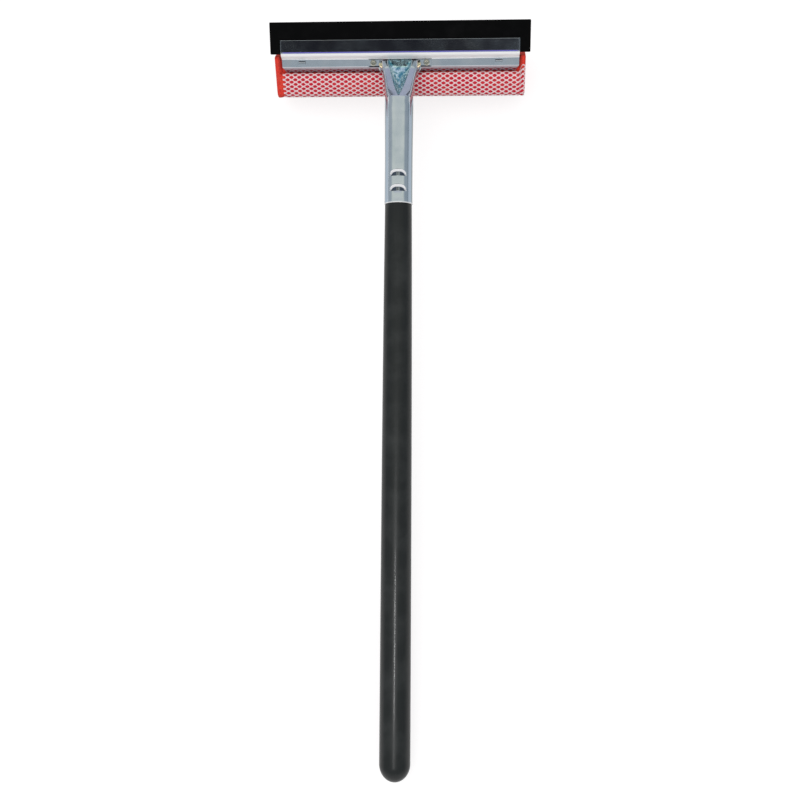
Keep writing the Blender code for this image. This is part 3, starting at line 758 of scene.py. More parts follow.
@dataclass(frozen=True)
class BlackPaint:
    """Black paint over turned wood: a satin body under gloss, with grain and light wear."""

    name: str = "black_painted_wood"
    body: Colour = (0.012, 0.0135, 0.0135)
    wear_and_highlight: Colour = (0.022, 0.024, 0.024)
    grain: Cloud = (900, 4, 0.6, 0.3)
    wear: Cloud = (45, 4, 0.6)
    peel: Cloud = (1300, 2, 0.5)
    grain_depth: float = 0.00002
    peel_depth: float = 0.000012

    def make(self) -> bpy.types.Material:
        """Builds the material."""
        recipe = Recipe(self.name)
        recipe.finish(Coat_Weight=0.12, Coat_Roughness=0.12, Coat_IOR=1.35, IOR=1.35, Specular_IOR_Level=0.3)
        where = recipe.position()
        grain = recipe.noise(recipe.position((1, 0.04, 1)), *self.grain)
        wear = recipe.noise(where, *self.wear)
        body = recipe.blend(recipe.span(wear, 0.45, 0.75), self.body, self.wear_and_highlight)
        body = recipe.blend(recipe.span(grain, 0.55, 0.8, 0, 0.5), body, self.wear_and_highlight)
        rough = recipe.span(wear, 0.3, 0.8, 0.30, 0.44)
        rough = recipe.sum("ADD", rough, recipe.span(grain, 0.4, 0.8, 0, 0.08))
        peel = recipe.bump(recipe.noise(where, *self.peel), self.peel_depth, 0.5)
        relief = recipe.bump(grain, self.grain_depth, 0.5, peel)
        return recipe.finish(Base_Color=body, Roughness=rough, Normal=relief, Coat_Normal=relief)


@dataclass(frozen=True)
class BladeRubber:
    """Matt black rubber with a moulded skin and a little dust."""

    name: str = "matt_black_rubber"
    body: Colour = (0.0022, 0.0022, 0.0024)
    dust: Colour = (0.007, 0.007, 0.0075)
    cloud: Cloud = (60, 5, 0.65)
    specks: Cloud = (2200, 2, 0.5)
    skin: Cloud = (1700, 3, 0.6)
    skin_depth: float = 0.00002

    def make(self) -> bpy.types.Material:
        """Builds the material."""
        recipe = Recipe(self.name)
        recipe.finish(IOR=1.4, Specular_IOR_Level=0.07)
        where = recipe.position()
        cloud = recipe.noise(where, *self.cloud)
        specks = recipe.noise(where, *self.specks)
        body = recipe.blend(recipe.span(cloud, 0.5, 0.8, 0, 0.6), self.body, self.dust)
        body = recipe.blend(recipe.span(specks, 0.66, 0.8, 0, 0.5), body, self.dust)
        rough = recipe.span(cloud, 0.3, 0.7, 0.5, 0.66)
        relief = recipe.bump(recipe.noise(where, *self.skin), self.skin_depth, 0.6)
        return recipe.finish(Base_Color=body, Roughness=rough, Normal=relief)


@dataclass(frozen=True)
class OpenCellFoam:
    """Red open-cell foam: pores of about half a millimetre with pale walls, painted shade in the pores'
    hollows and under the net.
    """

    name: str = "red_open_cell_foam"
    body: Colour = (0.82, 0.055, 0.035)
    # Painted shade for the foam under the net.
    pressed: Colour = (0.66, 0.018, 0.045)
    # Painted shade in the pores' hollows.
    deep: Colour = (0.42, 0.012, 0.022)
    pale: Colour = (0.92, 0.15, 0.09)
    sheen: Colour = (1.0, 0.5, 0.42)
    cloud: Cloud = (90, 4, 0.6)
    pores_per_metre: float = 1500
    big_pores: float = 0.42
    pore_depth: float = 0.0004

    def make(self) -> bpy.types.Material:
        """Builds the material."""
        recipe = Recipe(self.name)
        recipe.finish(Roughness=0.85, Specular_IOR_Level=0.2)
        recipe.finish(Sheen_Weight=0.15, Sheen_Roughness=0.5, Sheen_Tint=self.sheen)
        where = recipe.position()
        pores = recipe.cells(where, self.pores_per_metre)
        big = recipe.cells(where, self.pores_per_metre * self.big_pores)
        cloud = recipe.noise(where, *self.cloud)
        # Painted shade: the foam under the net is darker, and each pore's hollow darker still.
        body = recipe.blend(recipe.attribute("covered"), self.body, self.pressed)
        body = recipe.blend(recipe.span(pores, 0.05, 0.5), self.deep, body)
        body = recipe.blend(recipe.span(cloud, 0.45, 0.8, 0, 0.35), body, self.pale)
        small = recipe.bump(recipe.span(pores, 0.0, 0.6), self.pore_depth, 0.7)
        relief = recipe.bump(recipe.span(big, 0.0, 0.7), self.pore_depth * 1.5, 0.5, small)
        return recipe.finish(Base_Color=body, Normal=relief)


@dataclass(frozen=True)
class NetYarn:
    """White knitted yarn: fine twisted filaments that follow the net's own map, tinted pink by painted light
    from the red foam, with painted shade on the strands' low sides.
    """

    name: str = "white_net_yarn"
    # Pink tint painted for the light from the red foam under the white yarn.
    body: Colour = (0.92, 0.71, 0.73)
    shaded: Colour = (0.68, 0.34, 0.38)
    cloud: Cloud = (240, 3, 0.6)
    twist_scale: float = 150
    filament_depth: float = 0.00005

    def make(self) -> bpy.types.Material:
        """Builds the material."""
        recipe = Recipe(self.name)
        recipe.finish(Roughness=0.6, Sheen_Weight=0.3, Sheen_Roughness=0.4, Specular_IOR_Level=0.3)
        flat = recipe.node("UVMap").outputs["UV"]
        twist = recipe.node("TexWave", Vector=flat, Scale=self.twist_scale, Distortion=6.0, Detail=2.0)
        twist.wave_type = "BANDS"
        twist.bands_direction = "DIAGONAL"
        # Painted shade: the yarn darkens from its crest down to the openings' rims.
        body = recipe.blend(recipe.attribute("crest"), self.shaded, self.body)
        cloud = recipe.noise(recipe.position(), *self.cloud)
        body = recipe.blend(recipe.span(cloud, 0.5, 0.8, 0, 0.25), body, self.shaded)
        relief = recipe.bump(twist.outputs["Fac"], self.filament_depth, 0.5)
        return recipe.finish(Base_Color=body, Normal=relief)


# ------------------------------
# Crimps, which the socket and the wood inside it share
# ------------------------------


@dataclass(frozen=True)
class Crimps:
    """Two half-moon dents pressed into the socket's front, which key it to the wood."""

    first: float = 0.0113
    pitch: float = 0.0117
    height: float = 0.0052
    depth: float = 0.0017
    floor_fall: float = 0.15
    half_angle: float = math.radians(37)
    squareness: float = 2.6
    wall: float = 0.0017
    wall_bends: Point = (0.0002, 0.0003)
    ledge: float = 0.0005
    floor_from: float = 0.86

    @property
    def lows(self) -> list[float]:
        """The height of each dent's lower edge."""
        return [self.first + i * self.pitch - self.height / 2 for i in range(2)]

    def press(self, angle: float, along: float) -> float:
        """How far the wall is pressed in.

        Args:
            angle: The angle from the front.
            along: The distance up from the socket's rim.

        Returns:
            The depth in metres.
        """
        round_share = abs(angle) / self.half_angle
        if round_share >= 1:
            return 0.0
        depth = 0.0
        for low in self.lows:
            # The lower side is a straight ledge, and the upper one an arch with a sloping wall.
            high = low + self.height * (1 - round_share**self.squareness) ** (1 / self.squareness)
            ledge = smooth((along - low) / self.ledge)
            fallen = eased(high - along, self.wall_bends[0])
            wall = self.wall - eased(self.wall - fallen, self.wall_bends[1])
            deep = self.depth * wall / self.wall + self.floor_fall * max(fallen - self.wall, 0)
            depth = max(depth, deep * ledge)
        return depth

    def floor(self, angle: float, along: float) -> tuple[float, float]:
        """How deep a point lies in a dent, and how far on the dent's floor it is, from 0 to 1."""
        depth = self.press(angle, along) / self.depth
        return depth, smooth((depth - self.floor_from) / (1 - self.floor_from))

    def stretch(self, angle: float, along: float) -> float:
        """How far a point lies on a dent's sloping wall, which takes a painted bright highlight."""
        on_ledge = any(-self.ledge < along - low < 1.2 * self.ledge for low in self.lows)
        depth, floor = self.floor(angle, along)
        return 0.0 if on_ledge else smooth(depth / 0.10) * (1 - floor)

    def shade(self, angle: float, along: float) -> float:
        """How much painted shade a dent's floor takes at a point, away from its middle."""
        return self.floor(angle, along)[1] * smooth((abs(angle) - 0.08) / 0.10)

    def stations(self, steps: int = 26) -> list[float]:
        """Heights along the socket that carry the dents' outlines.

        Args:
            steps: Steps up each dent.

        Returns:
            The heights in metres.
        """
        marks = []
        for low in self.lows:
            marks += [low + self.ledge * share for share in (0.0, 0.25, 0.5, 0.75)]
            marks += [mix(low + self.ledge, low + self.height, j / steps) for j in range(steps + 1)]
            marks.append(low + self.height + 0.0004)
        return marks


# ------------------------------
# Handle
# ------------------------------


@dataclass
class Handle:
    """The turned wooden handle: a tenon in the socket, a slow swell, and a domed butt."""

    finish: bpy.types.Material
    crimps: Crimps
    length: float = 0.508
    neck_radius: float = 0.01045
    butt_radius: float = 0.01205
    dome_length: float = 0.0138
    swell_ease: float = 2.0
    chamfer: float = 0.0012
    neck_edge: float = 0.0004
    sides: int = 112

    @property
    def exposed(self) -> float:
        """The length below the socket's rim."""
        return self.length - TENON_LENGTH

    def radius(self, down: float) -> float:
        """The turned radius, this far below the socket's rim.

        Args:
            down: The distance in metres.

        Returns:
            The radius in metres.
        """
        start = self.exposed - self.dome_length
        share = min(down, start) / start
        ease = (1 - math.exp(-self.swell_ease * share)) / (1 - math.exp(-self.swell_ease))
        radius = mix(self.neck_radius, self.butt_radius, ease)
        if down > start:
            radius *= math.sqrt(max(0.0, 1 - ((down - start) / self.dome_length) ** 2))
        return radius

    def profile(self) -> list[Point]:
        """The (radius, along) points from the tenon's end to the butt."""
        tenon = SOCKET_RADIUS - SOCKET_WALL - GAP
        points = [(tenon - self.chamfer, TENON_LENGTH), (tenon, TENON_LENGTH - self.chamfer)]
        points += [(tenon, along) for along in reversed(self.crimps.stations())]
        edge = self.neck_edge
        points += [(tenon, -GAP), (self.radius(0) - edge, -GAP)]
        points += [
            (self.radius(0) - edge * (1 - math.sin(turn)), -GAP - edge * (1 - math.cos(turn)))
            for turn in (math.radians(30), math.radians(60), math.radians(90))
        ]
        start, body_steps, dome_steps = self.exposed - self.dome_length, 40, 22
        downs = [start * i / body_steps for i in range(1, body_steps + 1)]
        points += [(self.radius(down), -down) for down in downs]
        for i in range(1, dome_steps):
            down = start + self.dome_length * math.sin(math.pi / 2 * i / dome_steps)
            points.append((self.radius(down), -down))
        points.append((0.0004, -self.exposed + 0.00001))
        return points

    def build(self) -> Piece:
        """Turns the handle and dents its tenon under the crimps."""
        piece = Bench.turned("painted_handle", self.profile(), self.sides)
        Bench.place(piece, Matrix.Rotation(-math.pi / 2, 4, "X"))
        for vertex in piece.data.vertices:
            if vertex.co.y > 0:
                reach = math.hypot(vertex.co.x, vertex.co.z)
                pressed = self.crimps.press(math.atan2(vertex.co.x, vertex.co.z), vertex.co.y)
                if reach > 0:
                    vertex.co.x *= (reach - pressed) / reach
                    vertex.co.z *= (reach - pressed) / reach
        Bench.dress(piece, self.finish, 40)
        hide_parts("handle")
        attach(piece, "root")
        return piece


# ------------------------------
# Socket
# ------------------------------


@dataclass
class Socket:
    """The rolled socket: a round tube whose front is pressed back in a V below two ears."""

    finish: bpy.types.Material
    crimps: Crimps
    widening: float = 0.0003
    rim_flare: float = 0.00015
    rim_run: float = 0.004
    seam: float = 0.0004
    apex: float = 0.0822
    slope: float = 0.283
    floor_run: float = 0.0300
    ridge_start: float = 0.0818
    ridge_ease: float = 0.03
    ridge_height: float = 0.0042
    ridge_crest: float = 0.30
    ridge_foot: float = 0.90
    ridge_spread: float = 0.7
    seam_opening: float = 0.088
    waist_below_ears: float = 0.0106
    waist: float = 0.6
    opened_short: float = 0.0055
    fork_half: float = 0.0169
    ear_half: float = 0.0249
    ear_top: float = 0.0020
    ear_overhang: float = 0.0006
    flank_from: float = math.radians(38)
    rim_chamfer: float = 0.00042
    crest_bend: float = 0.00030
    crease_bend: float = 0.00018
    valley_wall: float = 0.0007
    valley_wall_share: float = 0.06
    knob_place: Spot = (0.0145, -0.0017, 0.0033)
    knob_half: Spot = (0.0027, 0.0014, 0.0014)
    valley_lean: float = math.radians(17)
    kick_bend: float = 0.0008
    back_bend: float = 0.0008
    corner_run: float = 0.0012
    floor_bend: float = 0.025
    apex_half: float = 0.0003
    tube_half: float = 0.003
    apex_lead: float = 0.003
    rows: tuple[int, int, int] = (16, 80, 20)
    valley_columns: int = 20
    flank_columns: int = 50
    ear_columns: int = 5

    @property
    def columns(self) -> int:
        """The blank's columns, left and right."""
        return 2 * (self.valley_columns + self.flank_columns + self.ear_columns)

    @property
    def floor_out(self) -> float:
        """How far the ears' outer face stands out of the web's middle plane."""
        return GAP + SOCKET_WALL

    @property
    def top(self) -> float:
        """The height of the ears' top edge."""
        return WEB.at(self.ear_top, GAP + SOCKET_WALL / 2)[0]

    @property
    def ear_low(self) -> float:
        """The height of the ears' lower edge."""
        return WEB.at(-WEB_HEIGHT / 2 - self.ear_overhang, GAP + SOCKET_WALL / 2)[0]

    def ear_plane(self, along: float) -> float:
        """Z of the ears' outer face, and of the socket's back below them.

        Args:
            along: The distance up from the rim.

        Returns:
            The height in metres.
        """
        y, z = WEB.at(0, self.floor_out)
        low = -(SOCKET_RADIUS - SOCKET_WALL)
        rise = z + (along - y) * math.tan(WEB.lean)
        return low + eased(rise - low, self.back_bend)

    def radius(self, angle: float, along: float) -> float:
        """Outer radius of the round tube, before the V is pressed.

        Args:
            angle: The angle from the front.
            along: The distance up from the rim.

        Returns:
            The radius in metres.
        """
        radius = SOCKET_RADIUS
        radius += self.widening * smooth((along - TENON_LENGTH / 2) / (self.apex - TENON_LENGTH / 2))
        radius += self.rim_flare * (1 - smooth(along / self.rim_run))
        return radius - self.crimps.press(angle, along)

    def press(self, run: float, along: float) -> float:
        """Share of its height that the V takes from the front, this far from the centre line.

        Args:
            run: The distance round from the centre line.
            along: The distance up from the rim.

        Returns:
            The share from 0 to 1.
        """
        corner = self.slope * (self.top - self.apex)
        edge = self.slope * (along - self.apex)
        steep = corner / (self.slope * self.floor_run)
        creased = math.hypot(run, self.crease_bend) - self.crease_bend
        share = steep * eased(edge - creased, self.crest_bend) / max(corner - creased, self.corner_run)
        wall = self.valley_wall_share * smooth((edge - creased) / self.valley_wall)
        return 1 - eased(1 - mix(wall, 1, share), self.floor_bend)

    def point(self, side: int, angle: float, along: float) -> Spot:
        """A point of the socket's outer face.

        Args:
            side: -1 left, 1 right.
            angle: The angle round the blank from its front.
            along: The distance up from the rim.

        Returns:
            The point in the tool's frame.
        """
        radius = self.radius(angle, along)
        floor, top = self.ear_plane(along), self.top
        run = radius * angle
        corner = self.slope * (top - self.apex)
        outward = max(0.0, (run - corner) / (math.pi * radius - corner))
        flat_x = run if outward == 0 else mix(corner, self.fork_half, outward**self.ridge_spread)
        foot = (outward - self.ridge_crest) / (self.ridge_foot - self.ridge_crest)
        ridge = self.ridge_height * (1 - smooth(foot))
        share = smooth(outward)
        starts = mix(self.ridge_start, self.seam_opening, share)
        ends = mix(top, top - self.opened_short, share)
        gone = (along - starts) / (ends - starts)
        opened = mix(ramp(gone, self.ridge_ease), smooth(gone), share)
        pressed = self.press(run, along)
        height = mix(radius * math.cos(angle) - floor, ridge, opened) * (1 - pressed)
        # The V's floor meets the web at a slant, and ends flush with it at the top.
        kicked = (math.tan(WEB.lean) - math.tan(self.valley_lean)) * max(top - along, 0) * pressed
        height = kicked + eased(height - kicked, self.kick_bend) if pressed > 0 else height
        x = mix(mix(radius * math.sin(angle), flat_x, opened), run, pressed)
        lean = opened * WEB.lean
        return side * x, along - height * math.sin(lean), floor + height * math.cos(lean)

    def edge(self, along: float) -> float:
        """Half the width that the V's own columns take."""
        if along < self.apex:
            return min(self.tube_half, self.apex_half + self.slope * (self.apex - along))
        return max(self.apex_half, self.slope * (along - self.apex))

    def blank_edge(self, along: float) -> float:
        """How far round the blank reaches, as a share of the half turn.

        Args:
            along: The distance up from the rim.

        Returns:
            The share from 0 to 1.
        """
        waist_at = self.ear_low - self.waist_below_ears
        if along < waist_at:
            away = smooth((along - self.seam_opening) / (waist_at - self.seam_opening))
        else:
            away = 1 - smooth((along - waist_at) / (self.ear_low - waist_at))
        return mix(1.0, self.waist, away)

    def stations(self) -> list[float]:
        """Distances up the socket at which the blank is drawn."""
        marks = [0.0, 0.0003, 0.001, 0.002, 0.003, self.rim_run, 0.0065] + self.crimps.stations()
        ends = [marks[-1], self.apex - self.apex_lead, self.ear_low, self.top]
        for start, end, steps in zip(ends, ends[1:], self.rows):
            marks += [mix(start, end, i / steps) for i in range(1, steps + 1)]
        return sorted(marks)

    def column(self, across: float, along: float) -> tuple[int, float, float]:
        """The side, angle and ear share of a column.

        Args:
            across: The column's share of the blank, from 0 at the left to 1 at the right.
            along: The distance up from the rim.

        Returns:
            The side, the angle round the blank, and how far out along the ear it lies.
        """
        place = (across - 0.5) * self.columns
        side, place = (-1 if place < 0 else 1), abs(place)
        radius = SOCKET_RADIUS
        valley = self.edge(along) / radius
        last = (math.pi - self.seam / 2 / radius) * self.blank_edge(along)
        if place <= self.valley_columns:
            share = place / self.valley_columns
            return side, valley * mix(share, math.sin(math.pi / 2 * share), 0.7), 0.0
        share = min((place - self.valley_columns) / self.flank_columns, 1.0)
        bunched = mix(share, share * share, 0.45)
        ear = max(0.0, (place - self.valley_columns - self.flank_columns) / self.ear_columns)
        return side, mix(valley, last, bunched), ear

    def surface(self, across: float, up: float) -> Spot:
        """The outer face at two shares of the grid.

        Args:
            across: The share from left to right.
            up: The share from the rim to the top.

        Returns:
            The point.
        """
        marks = self.marks
        along = marks[round(up * (len(marks) - 1))]
        side, angle, ear = self.column(across, along)
        x, y, z = self.point(side, angle, along)
        if ear > 0:
            x = side * mix(abs(x), self.ear_half, ear)
        return x, y, z

    def build(self) -> Piece:
        """Presses the blank, trims it, gives it its wall and dresses it."""

        def on_rim(at: Vector) -> bool:
            """Whether a point lies on the rim's outer edge, which is flared past the tube."""
            return at.y < TOUCH and math.hypot(at.x, at.z) > SOCKET_RADIUS

        self.marks = self.stations()
        piece = Bench.web("pressed_socket", self.columns, len(self.marks) - 1, self.surface)
        self.paint(piece)
        self.trim_ears(piece)
        Bench.wall(piece, SOCKET_WALL, -1)
        Bench.edit(piece, "EDGE")
        Bench.pick("edges", lambda a, b: on_rim(a) and on_rim(b))
        bpy.ops.mesh.bevel(offset=self.rim_chamfer, segments=2, affect="EDGES")
        Bench.leave()
        Bench.ease_edges(piece, 0.00014)
        self.add_knobs(piece)
        Bench.dress(piece, self.finish, 38, flat=True)
        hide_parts("socket")
        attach(piece, "root")
        return piece

    def paint(self, piece: Piece) -> None:
        """Records where the finish paints light and shade: the pressed V, the dents' floors, the tube's
        rounded sides, the cut rim and the dents' walls.

        Args:
            piece: The pressed grid.
        """

        def depth(vertex: Dot) -> float:
            """How far into the V a point was pressed."""
            x, y, _ = vertex.co
            return self.press(abs(x), y) if abs(x) < self.slope * (self.top - self.apex) else 0.0

        def tube_side_shade(vertex: Dot) -> float:
            """How far round the tube's side a point lies, where the finish paints shade on the rounded side.

            Args:
                vertex: A point of the mesh.

            Returns:
                The share from 0 to 1.
            """
            x, y, z = vertex.co
            around = (abs(math.atan2(x, z)) - self.flank_from) / (math.pi / 2 - self.flank_from)
            return min(max(around, 0.0), 1.0) * (1 - smooth((y - self.ridge_start) / 0.010 + 0.7))

        # The pressed and deep marks tell the finish where to paint the V's shade and highlight facets.
        Bench.mark(piece, "pressed", lambda vertex: smooth((depth(vertex) - 0.03) * 2.2))
        Bench.mark(piece, "deep", lambda vertex: smooth((depth(vertex) - 0.86) / 0.12))
        Bench.mark(piece, "dent_shade", lambda v: self.crimps.shade(math.atan2(v.co.x, v.co.z), v.co.y))
        Bench.mark(piece, "tube_side_shade", tube_side_shade)
        Bench.mark(piece, "wear_and_highlight", self.wear_and_highlight)

    def wear_and_highlight(self, vertex: Dot) -> float:
        """1 on the cut rim and on the dents' sloping walls, which take a painted white highlight."""
        x, y, z = vertex.co
        return max(1 - smooth((y - 0.0002) / 0.0006), self.crimps.stretch(math.atan2(x, z), y))

    def add_knobs(self, piece: Piece) -> None:
        """Raises the two knobs where the arms meet the ears.

        Args:
            piece: The socket.
        """
        x, up, out = self.knob_place
        for side in Side:
            bpy.ops.object.select_all(action="DESELECT")
            bpy.ops.mesh.primitive_uv_sphere_add(segments=28, ring_count=16, radius=1)
            knob = Bench.named("arm_knob")
            turn = Matrix.Rotation(side.value * math.pi / 4, 4, "Z") @ Matrix.Diagonal((*self.knob_half, 1))
            Bench.place(knob, WEB.matrix() @ Matrix.Translation((side.value * x, up, out)) @ turn)
            # The knob mark tells the finish where to paint a brass highlight.
            Bench.mark(knob, "knob", lambda _: 1.0)
            Bench.take(piece)
            knob.select_set(True)
            bpy.ops.object.join()

    def trim_ears(self, piece: Piece) -> None:
        """Cuts away the blank beside the round tube, which has no ears.

        Args:
            piece: The pressed grid.
        """
        columns = self.columns
        keep = sum(1 for mark in self.marks if mark < self.ear_low - 1e-9)
        Bench.edit(piece, "FACE")
        mesh = bmesh.from_edit_mesh(piece.data)
        mesh.faces.ensure_lookup_table()
        for face in mesh.faces:
            columns_of = [vertex.index % (columns + 1) for vertex in face.verts]
            rows_of = [vertex.index // (columns + 1) for vertex in face.verts]
            outside = min(columns_of) < self.ear_columns or max(columns_of) > columns - self.ear_columns
            if outside and min(rows_of) < keep:
                face.select_set(True)
        bmesh.update_edit_mesh(piece.data)
        bpy.ops.mesh.delete(type="FACE")
        bpy.ops.mesh.select_all(action="SELECT")
        bpy.ops.mesh.normals_make_consistent(inside=False)
        Bench.leave()
        on_front = Vector((0, self.apex / 2, SOCKET_RADIUS))
        front = min(piece.data.polygons, key=lambda p: (p.center - on_front).length)
        if front.normal.z < 0:
            Bench.flip(piece)


# ------------------------------
# Head: the two plates and the rivets
# ------------------------------


@dataclass(frozen=True)
class LipForm:
    """The turned lips that bite into the foam, and the channel behind the web."""

    length: float = 0.0056
    turn: float = math.radians(29)
    end_cut: float = 0.0029
    back_wall: float = 0.0090
    top_wall_up: float = 0.0042 + GAP + SHEET / 2
    foam_face: float = 0.0003
    foam_thickness: float = 0.038
    squeeze_back: float = 0.0027

    @property
    def channel_front(self) -> float:
        """Where the channel's front lies, behind the rivets' tails."""
        return RIVET_TAIL_OUT - RIVET_TAIL - GAP

    @property
    def channel_back(self) -> float:
        """Where the squeezed foam's back lies."""
        return self.foam_face - self.foam_thickness + self.squeeze_back

    @property
    def back_wall_out(self) -> float:
        """Where the back wall's middle plane lies."""
        return self.channel_back - GAP - SHEET / 2

    def front_end(self) -> Point:
        """The front lip's end, in the web's up and out."""
        up = -WEB_HEIGHT / 2 - self.length * math.cos(self.turn)
        return up, -SHEET / 2 - self.length * math.sin(self.turn)

    def back_end(self) -> Point:
        """The back lip's end, in the web's up and out."""
        low = self.top_wall_up - self.back_wall
        up = low - self.length * math.cos(self.turn)
        return up, self.back_wall_out + self.length * math.sin(self.turn)


@dataclass
class FrontPlate:
    """The front plate: a grip for the rubber, a riser, the web, and the front lip."""

    finish: bpy.types.Material
    lips: LipForm
    grip_up: float = 0.0104
    bend_drop: float = 0.0005
    rubber: float = 0.0040
    grip_bend: float = 0.0038
    web_bends: Point = (0.0010, 0.0022)
    lip_bend: float = 0.0006
    step_sag: float = 0.0001
    columns: int = 72
    slot_half: float = 0.0026 + GAP / 4
    slot_up: float = 0.0006
    slot_spread: float = 0.0775

    def path(self, x: float) -> list[Point]:
        """The plate's middle line at this X, from the grip's top to the lip's end.

        Args:
            x: The distance along the head.

        Returns:
            The (y, z) points.
        """
        grip = self.rubber + GAP + SHEET / 2
        half_web = WEB_HEIGHT / 2
        # The rivets pull the step open towards the middle.
        swell = 1 - (abs(x) / (HEAD_LENGTH / 2)) ** 2.5
        corners = [
            BLADE.at(self.grip_up, grip),
            BLADE.at(-self.bend_drop, grip),
            WEB.at(half_web - self.step_sag * swell, -SHEET / 2),
            WEB.at(-half_web, -SHEET / 2),
            WEB.at(*self.lips.front_end()),
        ]
        return bent_path(corners, (self.grip_bend, mix(*self.web_bends, swell), self.lip_bend), 14)

    def surface(self, across: float, down: float) -> Spot:
        """The plate's middle surface at two shares of the grid.

        Args:
            across: The share from left to right.
            down: The share down the plate's section.

        Returns:
            The point.
        """
        half = HEAD_LENGTH / 2
        path = self.path(mix(-half, half, across))
        y, z = path[round(down * (len(path) - 1))]
        lip_up, half_web = self.lips.front_end()[0], WEB_HEIGHT / 2
        below = (-half_web - WEB.of((y, z))[0]) / (-half_web - lip_up)
        half -= self.lips.end_cut * min(max(below, 0.0), 1.0)
        return mix(-half, half, across), y, z

    def build(self) -> Piece:
        """Folds the plate, cuts its slots and dresses it."""
        rows = len(self.path(0)) - 1
        piece = Bench.web("folded_front_plate", self.columns, rows, self.surface)
        Bench.wall(piece, SHEET, 0)
        for side in Side:
            x = side.value * self.slot_spread
            low = Vector((x - self.slot_half, self.slot_up - SHEET / 2 - GAP, -SHEET - GAP))
            high = Vector((x + self.slot_half, self.slot_up + SHEET / 2 + 2 * GAP, GAP))
            cutter = Bench.block("slot_punch", low, high)
            Bench.place(cutter, WEB.matrix())
            Bench.combine(piece, cutter, "DIFFERENCE")
        Bench.ease_edges(piece, 0.00022)
        self.paint(piece)
        Bench.dress(piece, self.finish, 30, flat=True)
        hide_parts("front_plate")
        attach(piece, "root")
        return piece

    def paint(self, piece: Piece) -> None:
        """Records where the finish paints a white highlight on the step, a violet fringe at the bend and shade
        on the lip.

        Args:
            piece: The plate.
        """
        grip = self.rubber + GAP + SHEET

        def wear_and_highlight(vertex: Dot) -> float:
            """1 on the riser and its two bends, which take a painted white highlight, the floor's reflection.
            """
            bent = grip - BLADE.of(vertex.co.yz)[1]
            return smooth(bent / 0.00025 - 0.4) * smooth(WEB.of(vertex.co.yz)[1] / 0.0001)

        def violet_reflection(vertex: Dot) -> float:
            """1 along the start of the grip's bend, where a violet fringe of a highlight is painted.

            Args:
                vertex: A point of the mesh.

            Returns:
                The share from 0 to 1.
            """
            up, out = BLADE.of(vertex.co.yz)
            bent = (grip - out) / 0.00006
            inside = up < self.grip_bend / 2 and abs(vertex.co.x) < HEAD_LENGTH / 2 - SHEET
            return smooth(bent * 3) * (1 - smooth(bent - 1)) if inside else 0.0

        Bench.mark(piece, "wear_and_highlight", wear_and_highlight)
        Bench.mark(piece, "violet_reflection", violet_reflection)
        # The lip mark tells the finish where to paint the lip's mauve shade.
        Bench.mark(piece, "shaded_lip", lambda vertex: smooth((-WEB_HEIGHT / 2 - WEB.of(vertex.co.yz)[0]) / 0.0004))


